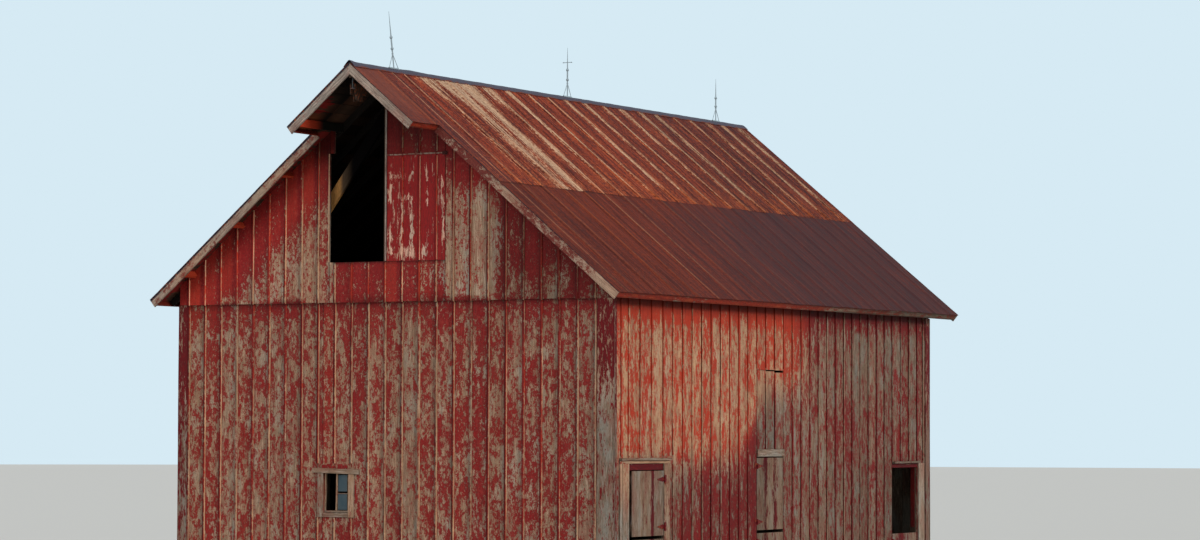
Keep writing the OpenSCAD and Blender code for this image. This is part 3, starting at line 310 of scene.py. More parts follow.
class Finish(Nodes):
    """A new material and short ways to add nodes to it."""

    def __init__(self, name):
        self.material = bpy.data.materials.new(name)
        self.material.use_nodes = True
        super().__init__(self.material.node_tree)

    def attribute(self, name):
        """A vector that the mesh carries on its points."""
        return self.add("ShaderNodeAttribute", attribute_name=name).outputs["Vector"]

    def split(self, vector):
        """The three parts of a vector."""
        return self.add("ShaderNodeSeparateXYZ", {0: vector}).outputs

    def object_place(self):
        """Object coordinates, which are metres in the shared frame."""
        return self.add("ShaderNodeTexCoord").outputs["Object"]

    def noise(self, place, fineness, detail, roughness, spread):
        """Cloud noise about one half, drawn apart by spread so that it fills nought to one.

        Fineness is how fast it changes along each way."""
        inputs = {"Vector": self.vector("MULTIPLY", place, fineness), "Scale": 1.0, "Detail": detail,
                  "Roughness": roughness}
        value = self.add("ShaderNodeTexNoise", inputs).outputs["Fac"]
        return self.line(value, spread, 0.5 - spread / 2, clamp=True)

    def step(self, value, low, high, a=0.0, b=1.0):
        """A smooth step from a, where the value is low, to b, where it is high."""
        inputs = {"Value": value, "From Min": low, "From Max": high, "To Min": a, "To Max": b}
        return self.add("ShaderNodeMapRange", inputs, interpolation_type="SMOOTHSTEP").outputs[0]

    def mix(self, factor, a, b):
        """Colour a where the factor is 0, b where it is 1."""
        return self.add("ShaderNodeMix", {0: factor, 6: a, 7: b}, data_type="RGBA").outputs[2]

    def blend(self, factor, a, b):
        """Number a where the factor is 0, b where it is 1."""
        return self.add("ShaderNodeMix", {0: factor, 2: a, 3: b}, data_type="FLOAT").outputs[0]

    def shaded(self, base, value):
        """The colour made brighter or darker by the value."""
        return self.add("ShaderNodeHueSaturation", {"Color": base, "Value": value}).outputs[0]

    def bump(self, height, strength, distance):
        """A normal that follows the height, which is distance metres at 1."""
        inputs = {"Height": height, "Strength": strength, "Distance": distance}
        return self.add("ShaderNodeBump", inputs).outputs["Normal"]

    def surface(self, base, roughness, normal=None, **more):
        """Ends the material in a surface with a faint gloss; more sets other sockets of the shader."""
        inputs = {"Base Color": base, "Roughness": roughness, "Specular IOR Level": 0.1}
        if normal is not None:
            inputs["Normal"] = normal
        inputs.update(more)
        shader = self.add("ShaderNodeBsdfPrincipled", inputs)
        self.add("ShaderNodeOutputMaterial", {"Surface": shader.outputs[0]})
        return self.material


# Long scrapes on the hay door: place across and up, half width, half height, and lean, in metres
SCRAPES = ((0.035, 6.50, 0.025, 0.05, 0.6), (0.03, 6.22, 0.028, 0.15, 0.1), (0.15, 6.47, 0.10, 0.016, 6.0),
           (0.40, 6.46, 0.022, 0.12, 0.35), (0.68, 6.50, 0.022, 0.10, -0.1), (0.70, 6.16, 0.02, 0.17, -0.05),
           (0.245, 5.72, 0.022, 0.40, 0.05), (0.42, 5.74, 0.018, 0.42, 0.0), (0.33, 6.14, 0.10, 0.025, 0.0),
           (0.03, 5.50, 0.026, 0.24, 0.0), (0.26, 5.30, 0.10, 0.09, 0.0), (0.64, 5.33, 0.06, 0.08, 0.0),
           (0.99, 5.80, 0.02, 0.40, 0.0), (0.42, 5.30, 0.05, 0.08, 0.0), (0.96, 6.25, 0.012, 0.22, 0.0))


def scraped(f, marks):
    """One inside the marks: each keeps places whose sideways and upright distances are both below its own,
    after clouds have pushed the places about."""
    spot = f.object_place()
    x, _, z = f.split(spot)
    x = f.line(f.noise(spot, (20.0, 20.0, 9.0), 4.0, 0.6, 2.5), 0.07, f.less(x, 0.035))
    z = f.line(f.noise(spot, (30.0, 30.0, 8.0), 3.0, 0.6, 2.5), 0.16, f.less(z, 0.08))
    total = 0.0
    for mid_x, mid_z, wide, tall, lean in marks:
        rise = f.less(z, mid_z)
        across = f.unsigned(f.line(rise, -lean, f.less(x, mid_x)))
        inside = f.times(f.step(across, wide * 1.25, wide * 0.6), f.step(f.unsigned(rise), tall, tall * 0.75))
        total = f.math("MAXIMUM", total, inside)
    return total


def flaking_paint(name, sound, deep, faded, bare, pale, long=1.0, marks=()):
    """Old paint that flakes off boards: it stays where clouds drawn out along the grain stand above the wear.

    Reads plank, a place on the board in metres, and look: wear, brightness and warmth. long draws the flakes
    out along the board, and marks are bare too."""
    c = bpy.context.scene.barn_colours
    f = Finish(name)
    plank = f.attribute("plank")
    wear, tone, warm = f.split(f.attribute("look"))
    fields = f.noise(plank, (6.0, 6.0, 2.4 / long), 3.0, 0.55, 2.6)
    flakes = f.noise(plank, (19.0, 19.0, 11.0 / long), 5.0, 0.72, 3.2)
    specks = f.noise(plank, (58.0, 58.0, 36.0 / long), 4.0, 0.72, 3.4)
    drift = f.noise(plank, (4.0, 4.0, 1.6), 2.0, 0.5, 3.0)
    grain = f.noise(plank, (130.0, 30.0, 5.0), 4.0, 0.65, 3.0)
    cracks = f.noise(plank, (170.0, 20.0, 1.8), 2.0, 0.5, 2.2)
    left = f.line(f.weighted((fields, 0.26), (flakes, 0.46), (specks, 0.28)), 1.8, -0.4)
    if marks:
        left = f.line(scraped(f, marks), -0.6, left)
    edge = f.line(wear, 1.1, -0.05)
    paint = f.step(left, edge, f.plus(edge, 0.09))
    stain = f.step(left, f.less(edge, 0.25), f.plus(edge, 0.02))
    wood = f.mix(grain, c.wood_dark, bare)
    wood = f.mix(f.times(f.step(grain, 0.5, 1.0), 0.8), wood, pale)
    wood = f.mix(f.step(drift, 0.5, 1.0, 0.0, 0.55), wood, c.grey_wood)
    wood = f.mix(f.times(warm, f.line(grain, 0.4, 0.4)), wood, c.tan)
    wood = f.mix(f.step(drift, 0.5, 0.0, 0.0, 0.4), wood, c.stain)
    wood = f.mix(f.times(stain, 0.5), wood, c.stain)
    coat = f.mix(f.weighted((specks, 0.6), (fields, 0.4)), deep, sound)
    coat = f.mix(f.times(f.step(flakes, 0.5, 0.95), 0.35), coat, faded)
    coat = f.mix(f.step(warm, 0.35, 1.0, 0.0, 0.75), coat, c.sunned)
    base = f.mix(paint, wood, coat)
    base = f.mix(f.times(f.step(cracks, 0.24, 0.08), 0.6), base, c.timber_dark)
    base = f.mix(f.step(specks, 0.32, 0.0, 0.0, 0.5), base, c.timber_dark)
    base = f.shaded(base, f.line(tone, 1.4, 0.33))
    height = f.weighted((paint, 0.35), (grain, 0.45), (cracks, 0.2))
    return f.surface(base, f.blend(paint, 0.88, 0.66), f.bump(height, 0.45, 0.0025))


def rough_timber(name, stretch, light, dark, boards=0.0):
    """Sawn timber: grain clouds drawn out along its length, and seams where it is boarded.

    Reads Object coordinates; stretch is how fast the grain changes along each of them, boards the width of a
    board where there are any."""
    f = Finish(name)
    spot = f.object_place()
    grain = f.noise(spot, stretch, 4.0, 0.65, 2.6)
    clouds = f.noise(spot, (1.7, 1.7, 1.7), 3.0, 0.5, 2.4)
    base = f.mix(grain, dark, light)
    base = f.mix(f.times(clouds, 0.45), base, dark)
    height = grain
    if boards:
        across = f.split(spot)[0]
        seam = f.step(f.math("PINGPONG", across, boards / 2), 0.0, 0.005)
        base = f.mix(seam, SEAM, base)
        height = f.times(grain, seam)
    return f.surface(base, 0.85, f.bump(height, 0.4, 0.003))


def prop_timber():
    """Braces: bright tan at their outer ends, painted sunlight, then brown, and black further in, painted
    shade.

    Reads Object coordinates; the painted light and shade follow the distance from the barn's middle. There is
    no gloss."""
    c = bpy.context.scene.barn_colours
    f = Finish("prop_timber")
    spot = f.object_place()
    grain = f.noise(spot, (60.0, 60.0, 12.0), 4.0, 0.65, 2.6)
    out = f.unsigned(f.split(spot)[0])
    # Bright tan outer ends: painted sunlight
    wood = f.mix(f.step(out, 0.99, 1.09), c.brace, c.brace_end)
    wood = f.mix(f.times(grain, 0.5), wood, c.timber_dark)
    # Near black further in: painted shade
    base = f.mix(f.step(out, 0.8, 1.05), BRACE_SHADE, wood)
    return f.surface(base, 1.0, f.bump(grain, 0.4, 0.003), **{"Specular IOR Level": 0.0})


def lookout_timber():
    """Lookouts: orange red at their outer ends, partly paint and partly painted sunlight; those under the
    hood turn near black towards the wall, painted shade.

    Reads Object coordinates."""
    c = bpy.context.scene.barn_colours
    f = Finish("lookout_timber")
    spot = f.object_place()
    x, y, _ = f.split(spot)
    grain = f.noise(spot, (60.0, 4.0, 60.0), 4.0, 0.65, 2.6)
    hood = f.step(f.unsigned(x), 1.3, 1.2)
    # Painted shade: lookouts under the hood turn near black towards the wall
    inner = f.times(hood, f.step(y, HOOD_Y + 0.35, HOOD_Y + 0.65))
    base = f.mix(grain, c.orange_paint, c.sunned)
    return f.surface(f.mix(inner, base, SHADED_WOOD), 0.85, f.bump(grain, 0.4, 0.003))


def slope_timber():
    """Rafters, dark inside with painted shade: their grain runs down the slope on both sides of the ridge.

    The place is turned by the roof's pitch after its sideways part has lost its sign."""
    light = bpy.context.scene.barn_colours.timber_dark
    f = Finish("slope_timber")
    x, y, z = f.split(f.object_place())
    x = f.unsigned(x)
    down = f.less(f.times(x, COS), f.times(z, SIN))
    square = f.plus(f.times(x, SIN), f.times(z, COS))
    spot = f.add("ShaderNodeCombineXYZ", {0: down, 1: y, 2: square}).outputs[0]
    grain = f.noise(spot, (3.0, 70.0, 70.0), 4.0, 0.65, 2.6)
    clouds = f.noise(spot, (1.1, 1.7, 1.7), 3.0, 0.5, 2.4)
    # Painted shade: near black mixed into the dark timber
    base = f.mix(f.times(clouds, 0.45), f.mix(grain, SHADED_WOOD, light), SHADED_WOOD)
    return f.surface(base, 0.85, f.bump(grain, 0.4, 0.003))


def deck_boards():
    """Bare roof and overhang boards, stained red where paint ran under the hood and the rakes. The look's
    tone gives painted shade and painted sunlight, and its warmth an orange of painted sunlight.

    Reads plank and look as the flaking paint does."""
    c = bpy.context.scene.barn_colours
    f = Finish("deck_boards")
    plank = f.attribute("plank")
    wear, tone, warm = f.split(f.attribute("look"))
    grain = f.noise(plank, (120.0, 30.0, 3.5), 4.0, 0.6, 2.6)
    clouds = f.noise(plank, (9.0, 9.0, 1.5), 3.0, 0.5, 2.6)
    wood = f.mix(f.times(warm, 0.8), f.mix(grain, c.timber_dark, c.timber), c.orange)
    wash = f.step(clouds, wear, f.plus(wear, 0.25))
    base = f.mix(f.times(wash, 0.85), wood, c.red)
    base = f.shaded(base, f.line(tone, 1.8, 0.03))
    return f.surface(base, 0.85, f.bump(grain, 0.4, 0.002))


def rusted_sheets():
    """Rusted roof metal: rust in long runs down the slope, pale zinc in bands, thin lines along the crimps,
    and painted shade in dark lines beside them.

    Reads sheet, a place along the ridge and down the slope in metres, look: zinc, fresh rust and cold dark
    rust, rib: how bright a crimp top is, how pale it is and how quiet the runs are, and shade: haze, tone and
    the distance to the nearest crimp in metres."""
    c = bpy.context.scene.barn_colours
    f = Finish("rusted_sheets")
    sheet = f.attribute("sheet")
    zinc, fresh, cold = f.split(f.attribute("look"))
    rib, pale, quiet = f.split(f.attribute("rib"))
    haze, tone, far = f.split(f.attribute("shade"))
    loud = f.line(quiet, -2.2, 4.3)
    runs = f.noise(sheet, (8.0, 0.5, 1.0), 3.0, 0.55, 2.8)
    streaks = f.noise(sheet, (34.0, 1.4, 1.0), 5.0, 0.7, 3.8)
    specks = f.noise(sheet, (26.0, 18.0, 1.0), 5.0, 0.75, 3.6)
    calm = f.weighted((runs, 0.3), (streaks, 0.35), (specks, 0.35))
    base = f.mix(f.line(f.less(calm, 0.5), loud, 0.5, clamp=True), c.maroon, c.rust)
    blotch = f.weighted((streaks, 0.6), (specks, 0.4))
    base = f.mix(f.times(cold, f.line(blotch, -0.9, 1.3, clamp=True)), base, c.purple)
    base = f.mix(f.times(f.step(f.plus(blotch, fresh), 0.8, 1.25), 0.8), base, c.orange)
    left = f.plus(f.weighted((runs, 0.25), (streaks, 0.45), (specks, 0.3)), zinc)
    base = f.mix(f.times(f.step(left, 0.82, 1.0), 0.6), base, c.orange)
    bare = f.step(left, 0.94, 1.12)
    base = f.mix(f.times(bare, f.line(specks, 0.5, 0.55, clamp=True)), base, c.zinc)
    crest = f.times(rib, f.step(far, 0.027, 0.011))
    crest = f.times(crest, f.line(f.step(specks, 0.1, 0.6), 0.5, 0.6), clamp=True)
    base = f.mix(crest, base, f.mix(pale, c.orange, c.zinc))
    # Painted shade: dark maroon lines beside each crimp, fainter where the runs are quiet
    beside = f.step(f.unsigned(f.less(far, 0.042)), 0.02, 0.0)
    base = f.mix(f.times(beside, f.line(quiet, -0.4, 0.45)), base, c.maroon)
    base = f.mix(haze, base, c.stain)
    base = f.mix(f.step(specks, 0.25, 0.0, 0.0, 0.35), base, c.maroon)
    grain = f.times(f.less(blotch, 0.53), f.line(quiet, -1.0, 0.8))
    base = f.shaded(base, f.line(tone, 1.2, f.plus(grain, 0.4)))
    rough = f.line(bare, -0.1, f.line(specks, 0.12, 0.72))
    return f.surface(base, rough, f.bump(f.line(specks, 0.5, streaks), 0.2, 0.002))


def cap_metal():
    """Blue grey ridge metal with rusty wings: the rust starts some way from the ridge, at a ragged line.

    Reads Object coordinates; the distance from the ridge is the sideways one without its sign."""
    c = bpy.context.scene.barn_colours
    f = Finish("cap_metal")
    spot = f.object_place()
    out = f.unsigned(f.split(spot)[0])
    runs = f.noise(spot, (14.0, 5.0, 14.0), 4.0, 0.6, 2.8)
    specks = f.noise(spot, (60.0, 40.0, 60.0), 3.0, 0.6, 2.8)
    base = f.mix(f.times(specks, 0.35), c.slate, c.iron)
    rusty = f.mix(specks, c.maroon, c.orange)
    edge = f.line(runs, 0.04, out)
    base = f.mix(f.step(edge, 0.1, 0.125), base, f.mix(0.6, rusty, c.maroon))
    return f.surface(base, f.line(specks, 0.2, 0.5), f.bump(specks, 0.2, 0.001))


def old_iron(name, amount, coat):
    """Forged and cast iron under rust: amount is how much of it the rust covers, coat what shows elsewhere.

    Reads Object coordinates."""
    c = bpy.context.scene.barn_colours
    f = Finish(name)
    spot = f.object_place()
    clouds = f.noise(spot, (22.0, 22.0, 22.0), 4.0, 0.6, 2.8)
    pits = f.noise(spot, (160.0, 160.0, 160.0), 3.0, 0.6, 2.8)
    rusty = f.mix(pits, c.iron_rust, c.orange)
    rusty = f.mix(f.step(pits, 0.3, 0.9), c.iron_rust, rusty)
    bare = 1.0 - amount
    rust = f.step(f.weighted((pits, 0.3), (clouds, 0.7)), bare - 0.1, bare + 0.1)
    base = f.mix(rust, coat, rusty)
    return f.surface(base, f.line(rust, 0.25, 0.55), f.bump(pits, 0.35, 0.001))


def field_stone():
    """Foundation stones in mortar: cells drawn out sideways, each with its own shade, sunk at their edges.

    Reads Object coordinates."""
    c = bpy.context.scene.barn_colours
    f = Finish("field_stone")
    spot = f.object_place()
    warp = f.add("ShaderNodeTexNoise", {"Vector": spot, "Scale": 6.0, "Detail": 2.0}).outputs["Color"]
    warp = f.vector("MULTIPLY", warp, (0.35, 0.35, 0.35))
    bent = {"Vector": f.vector("ADD", warp, f.vector("MULTIPLY", spot, (3.2, 3.2, 8.0))), "Scale": 1.0}
    cells = f.add("ShaderNodeTexVoronoi", bent).outputs["Color"]
    rim = f.add("ShaderNodeTexVoronoi", bent, feature="DISTANCE_TO_EDGE").outputs["Distance"]
    grit = f.noise(spot, (70.0, 70.0, 70.0), 4.0, 0.6, 2.4)
    rock = f.mix(f.split(cells)[0], f.mix(0.45, c.stone, c.timber_dark), c.stone)
    rock = f.mix(f.times(grit, 0.3), rock, c.mortar)
    face = f.step(rim, 0.03, 0.12)
    return f.surface(f.mix(face, c.mortar, rock), 0.9, f.bump(f.line(grit, 0.25, face), 0.6, 0.012))


def old_pane():
    """Window glass under uneven dust.

    Reads Object coordinates."""
    c = bpy.context.scene.barn_colours
    f = Finish("old_pane")
    dust = f.noise(f.object_place(), (5.0, 5.0, 3.0), 2.0, 0.5, 2.0)
    base = f.mix(f.times(dust, 0.25), c.pane, c.grey_wood)
    return f.surface(base, f.line(dust, 0.25, 0.05), **{"Transmission Weight": 0.35, "IOR": 1.5})


# Boards

# The ring round a board: part of its half width, worn edge taken off the width, part of its
# thickness, worn edge taken off the thickness. It runs round the back, one side, the face, the other.
RING = np.array([
    (-1.0, 0, 0, 0), (1.0, 0, 0, 0), (1.0, 0, 1, 1), (1.0, 1, 1, 0), (0.8, 0, 1, 0), (0.3, 0, 1, 0),
    (-0.3, 0, 1, 0), (-0.8, 0, 1, 0), (-1.0, -1, 1, 0), (-1.0, 0, 1, 1),
])

# Changes at a board's edge: of wear, tone and warmth, then the share of them at the next two ring points
WORN = (-0.1, -0.14, 0.0, 0, 0)
PLAIN = (0, 0, 0, 0, 0)
# Front boards: at the right edge, beside the next batten, greyer and darker, painted shadow of the batten
SHADED = {"left": (-0.08, -0.05, 0.1, 0, 0), "right": (0.08, -0.2, -0.45, 0.7, 0)}
# Right wall battens: their front side face, the left edge, darker, painted shade
FLANK_SHADE = {"left": (-0.15, -0.25, -0.1, 0, 0), "right": PLAIN}
# Gable battens: painted shade over the left half; at the right edge bare wood, warm and brighter, partly wear
# and partly painted sunlight
BATTEN_LEFT = (-0.15, -0.4, -0.5, 1, 0.9)
BATTEN_RIGHT = (0.55, 0.12, 0.7, 0.2, 0)

# Wear, tone and warmth of a board's back, and how far tone and warmth differ from board to board
BACK = (1.0, 0.25, 0.0)
TONE_LUCK, WARM_LUCK = 0.06, 0.15

# Gaps in metres: a tight one beside a cut board or a casing, and one between a door's boards
TIGHT = 0.002
DOOR_GAP = 0.003

# Width and thickness of the ledges on the backs of the doors
LEDGE_W, LEDGE_T = 0.12, 0.022


class Place:
    """A plane that boards lie in: they run along one way, face out another, and across is square to both."""

    def __init__(self, origin, along, out):
        self.origin = np.array(origin, float)
        self.along = np.array(along, float)
        self.out = np.array(out, float)
        self.across = np.cross(self.along, self.out)

    def world(self, across, along, out):
        """Points in metres: the origin and the three distances along the plane's own directions."""
        return (self.origin + across[..., None] * self.across + along[..., None] * self.along
                + out[..., None] * self.out)


# Planes of the walls. In a flat one the boards lie on their side, and across runs down from z = 0
FRONT = Place((0, FRONT_Y + SIDING, 0), UP, (0, -1, 0))
FRONT_FLAT = Place((0, FRONT_Y + SIDING, 0), SIDEWAYS, (0, -1, 0))
REAR = Place((0, REAR_Y - SIDING, 0), UP, (0, 1, 0))
RIGHT = Place((HALF_W - SIDING, FRONT_Y, 0), UP, (1, 0, 0))
RIGHT_FLAT = Place((HALF_W - SIDING, FRONT_Y, 0), REARWARD, (1, 0, 0))
LEFT = Place((-HALF_W + SIDING, FRONT_Y, 0), UP, (-1, 0, 0))


def settle(name, mesh, material, body="barn", nodes=(), slot="red_boards"):
    """Makes an object of a finished mesh, at the origin, and ties it to its body and CAD nodes; slot is not
    used.
    """
    mesh.update()
    obj = bpy.data.objects.new(name, mesh)
    bpy.context.scene.collection.objects.link(obj)
    obj.data.materials.append(material)
    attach(obj, body)
    if nodes:
        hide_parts(*nodes)
    return obj


def carry(mesh, layers):
    """Writes each layer's vectors on the mesh's points."""
    for key, rows in layers.items():
        layer = mesh.attributes.new(key, "FLOAT_VECTOR", "POINT")
        layer.data.foreach_set("vector", np.concatenate(rows).astype(np.float32).ravel())


def edge_share(part, change, toward):
    """How much of an edge's change a ring point takes: all of it at the edge, the two shares further in."""
    reach = [toward * part > 0.9, toward * part > 0.7, toward * part > 0.2]
    return np.select(reach, [1.0, *change[3:]])


class Boards:
    """Boards of one piece, each a ring of points carried along its length and closed at both ends."""

    def __init__(self):
        self.points, self.planks, self.looks, self.faces = [], [], [], []
        self.count = 0

    def add(self, place, centre, width, low, high, thick, offset=0.0, look=None, seed=1, left=WORN,
            right=WORN, spread=0.08, top=None, bottom=None, ragged=False, wander=0.0015, lean=0.0,
            bare_back=True, vary=0.0):
        """Adds boards: across = centre + part of half the width + sway + lean, along = low + (high - low)
        times the station, out = offset + part of the thickness + cup + bow. top and bottom cut them along a
        line. left and right change wear, tone and warmth at those edges, and by a share at the next two ring
        points. vary makes these changes differ from board to board and swell and fade along it, spread is
        how far the wear differs, and ragged boards differ in length."""
        sizes = bpy.context.scene.barn_boards
        rows = np.broadcast_arrays(*(np.atleast_1d(np.asarray(value, float))
                                     for value in (centre, width, low, high, thick, offset)))
        centre, width, low, high, thick, offset = (row[:, None, None] for row in rows)
        count, sides = centre.shape[0], len(RING)
        long = float((high - low).max())
        t = np.linspace(0.0, 1.0, max(3, int(math.ceil(long / sizes.station)) + 1))
        if long > 0.5:
            t = np.sort(np.append(t, [1 - 0.1 / long, 1 - 0.05 / long]))
        t = t[None, :, None]
        part, inset, rise, drop = (RING[:, i][None, None, :] for i in range(4))
        luck = np.random.default_rng(seed).uniform(-1.0, 1.0, (8, count, 1, 1))
        ends = sizes.ragged if ragged else 0.0
        chamfer = np.minimum(sizes.chamfer, np.minimum(width, thick) * 0.2)
        across = centre + part * width / 2 - inset * chamfer
        first = low + ends * luck[0] + 0 * across
        last = high + ends * luck[1] + 0 * across
        if top is not None:
            last = np.minimum(last, top(across))
        if bottom is not None:
            first = np.maximum(first, bottom(across))
        last = np.maximum(last, first + 0.004)
        along = first + (last - first) * t
        sway = wander * np.sin(2 * np.pi * (0.31 * along + luck[2]))
        across = across + sway + lean * (along - (low + high) / 2)
        face = sizes.cup * (1 - part ** 2) * rise + sizes.bow * np.sin(2 * np.pi * (0.19 * along + luck[3]))
        out = offset + rise * thick - drop * chamfer + face * np.minimum(1.0, width / 0.15)
        swell = 1 + vary * luck[7] + 0.6 * vary * np.sin(2 * np.pi * (0.55 * along + 2.0 * luck[3]))
        lefts = edge_share(part, left, -1) * swell
        rights = edge_share(part, right, 1) * swell
        base = look(across, along) if look else (0.5, 0.5, 0.4)
        fields = [base[i] + amount * luck[4 + i] + left[i] * lefts + right[i] * rights
                  for i, amount in enumerate((spread, TONE_LUCK, WARM_LUCK))]
        if bare_back:
            fields = [np.where(rise == 0, back, field) for back, field in zip(BACK, fields)]
        fields = [np.clip(field, 0.0, 1.0) + 0.0 * along for field in fields]
        plank = np.stack([across - centre + 31.0 * luck[7], out, along + 47.0 * luck[2]], axis=-1)
        self.points.append(place.world(across, along, out).reshape(-1, 3))
        self.planks.append(plank.reshape(-1, 3))
        self.looks.append(np.stack(fields, axis=-1).reshape(-1, 3))
        self.close(count, t.shape[1], sides)
        return self

    def close(self, count, stations, sides):
        """Faces of the last boards added: a band from each ring to the next, and both ends of each board."""
        start = self.count + np.arange(count)[:, None, None] * stations * sides
        ring = np.arange(sides)
        row = start + np.arange(stations - 1)[None, :, None] * sides
        here, beside = row + ring, row + (ring + 1) % sides
        self.faces += np.stack([here, here + sides, beside + sides, beside], axis=-1).reshape(-1, 4).tolist()
        self.faces += (start[:, 0] + ring).tolist()
        self.faces += (start[:, 0] + (stations - 1) * sides + ring[::-1]).tolist()
        self.count += count * stations * sides

    def piece(self, name, material, **ties):
        """Makes one object of all the boards; ties are its body, CAD nodes and slot."""
        mesh = bpy.data.meshes.new(name)
        mesh.from_pydata(np.concatenate(self.points).tolist(), [], self.faces)
        carry(mesh, {"plank": self.planks, "look": self.looks})
        return settle(name, mesh, material, **ties)


def between(edges, gap):
    """Middles and widths of the boards between neighbouring edges, less the gap between two boards."""
    edges = np.asarray(edges, float)
    return (edges[1:] + edges[:-1]) / 2, edges[1:] - edges[:-1] - gap


def paint(name):
    """A flaking paint, made once."""
    c = bpy.context.scene.barn_colours
    if name in bpy.data.materials:
        return bpy.data.materials[name]
    mixes = {
        "barn_paint": (c.red, c.deep, c.faded, c.wood, c.wood_pale, 1.0),
        "leaf_paint": (c.red, c.deep, c.red, c.scrape, c.scrape, 3.6, SCRAPES),
        "side_paint": (c.red, c.deep, c.faded, c.wood, c.wood_pale, 1.5),
        "stall_paint": (c.deep, c.deep, c.red, c.wood, c.rake_wood, 2.4),
        "rake_paint": (c.rake_red, c.deep, c.stain, c.rake_wood, c.wood_pale, 0.8),
        "eave_paint": (c.orange_paint, c.deep, c.orange, c.wood, c.wood_pale, 2.0),
    }
    return flaking_paint(name, *mixes[name])


# Where the paint is left. Each look takes places across and along the boards, in metres, and gives wear,
# tone and warmth from 0 to 1. Its numbers are places, sizes and depths of worn, dark and warm stretches;
# some dark stretches are painted shade, and some warm ones painted sunlight.


def rake_line(x):
    """Height of the underside of the roof boards over a place x."""
    return DECK - DECK_T / COS - 0.001 - TAN * np.abs(x)


def front_look(x, z):
    """Front: paint is kept below the rakes, under the hood and below the hay door. Painted shade and shadow
    darken it under the hood and where the hood's shadow falls left of it, in a line under the hay door's
    sill, just under the rakes and just below the belt; painted light brightens it below the left rake.
    """
    under = rake_line(x) - z
    west = 0.05 + 0.5 * smooth(0.7, 1.3, under) * smooth(-0.9, -1.05, x)
    east = 0.5 * smooth(0.9, 1.1, x) * smooth(2.15, 1.85, x) * smooth(6.6, 5.9, z) * smooth(0.2, 0.5, under)
    east = np.maximum(east, 0.4 * smooth(5.2, 4.75, z) * (0.6 + 0.4 * np.sin(9.0 * x)) * smooth(1.5, 2.0, x))
    gable = np.where(x < -0.9, west, 0.14 + east + 0.14 * patch(x, z, 0.7, 4.85, 0.25, 0.4))
    # Darker on the right of the gable, and painted shade under the hood
    tone = 0.58 - 0.35 * smooth(1.7, 2.1, x) - 0.5 * patch(x, z, 0.3, 7.35, 1.4, 0.62)
    # Painted shadow line under the hay door's sill
    tone = tone - 0.5 * smooth(5.13, 5.17, z) * (z < 5.19) * (np.abs(x) < 1.04)
    # Painted light below the left rake
    tone = tone + 0.26 * smooth(1.1, 0.6, under) * smooth(-1.1, -1.5, x)
    tone = tone + 0.08 * patch(x, z, 0.0, 4.9, 1.0, 0.3)
    # Painted shadow of the hood left of the opening, and painted shade just under the rakes
    tone = tone - 0.62 * patch(x, z, -1.2, 7.2, 0.5, 0.46) - 0.1 * smooth(0.4, 0.1, under)
    lower = 0.47 - 0.22 * smooth(4.15, 4.5, z) + 0.06 * patch(x, z, -0.7, 2.2, 0.9, 0.9)
    lower = lower - 0.08 * patch(x, z, 3.1, 1.6, 0.6, 1.0) + 0.05 * np.sin(2.1 * x + 1.0)
    # Painted shadow under the gable boards' lower edge, just below the belt
    shade = 0.5 - 0.3 * smooth(BELT - 0.07, BELT - 0.02, z)
    warm = 0.4 - 0.1 * smooth(0.0, 3.5, x) + 0.12 * smooth(1.2, 0.6, under) * smooth(-0.9, -1.3, x)
    return np.where(z > BELT, gable, lower), np.where(z > BELT, tone, shade), warm + 0 * z


def leaf_look(x, z):
    """Hay door: little wear, with the long scrapes that the paint adds."""
    return 0.1 + 0.06 * smooth(5.5, 5.2, z) + 0 * x, 0.76 + 0 * z, 0.3 + 0 * z


def side_look(s, z):
    """Right wall: sound below the eave, streaked in front, where painted sunlight makes it warm orange, and
    grey and darker behind and low down, painted shadow. A painted shadow band lies under the eave. s is the
    way from the front.
    """
    rear = smooth(4.9, 7.0, s)
    tongues = 0.07 * np.sin(19.0 * s) + 0.06 * np.sin(43.0 * s + 1.0)
    sound = smooth(4.2 + tongues, 4.42 + tongues, z)
    fore = 0.54 - 0.52 * sound
    aft = 0.56 - 0.36 * sound
    wear = fore * (1 - rear) + aft * rear
    wear = wear - 0.26 * patch(s, z, 3.5, 1.3, 1.3, 0.8) - 0.25 * patch(s, z, 5.9, 3.9, 0.7, 0.4)
    wear = wear + 0.2 * patch(s, z, 5.0, 3.1, 0.8, 0.3) - 0.45 * patch(s, z, 4.42, 1.6, 0.13, 1.2)
    wear = wear - 0.14 * patch(s, z, 7.6, 2.6, 0.9, 0.6) - 0.14 * patch(s, z, 9.6, 2.6, 0.6, 0.9)
    wear = wear + 0.2 * patch(s, z, 8.3, 3.6, 0.6, 0.5)
    # Painted sunlight: a warm stretch in front whose lower edge rises further back; elsewhere painted shadow
    foot = 2.2 + 1.1 * smooth(3.8, 5.0, s)
    warm = 0.1 + 0.85 * smooth(6.9, 5.6, s) * smooth(foot - 0.5, foot + 0.3, z)
    # Painted shadow: darker behind and below the sunlit stretch, darker still low down behind, and a dark
    # band under the eave
    tone = 0.55 - 0.2 * smooth(5.0, 8.0, s) - 0.24 * smooth(foot + 0.2, foot - 0.6, z) * smooth(6.5, 5.0, s)
    tone = tone - 0.08 * smooth(2.4, 1.8, z) * smooth(5.0, 6.5, s) - 0.7 * smooth(4.49, 4.54, z)
    return wear, tone, warm


def far_look(x, z):
    """Left wall, which the picture doesn't show: sound below the eave, and even below that."""
    wear = 0.5 - 0.35 * smooth(WALL_TOP - 0.7, WALL_TOP - 0.2, z) + 0.06 * np.sin(1.7 * x + 0.6)
    return wear, 0.5 + 0 * z, 0.3 + 0 * z


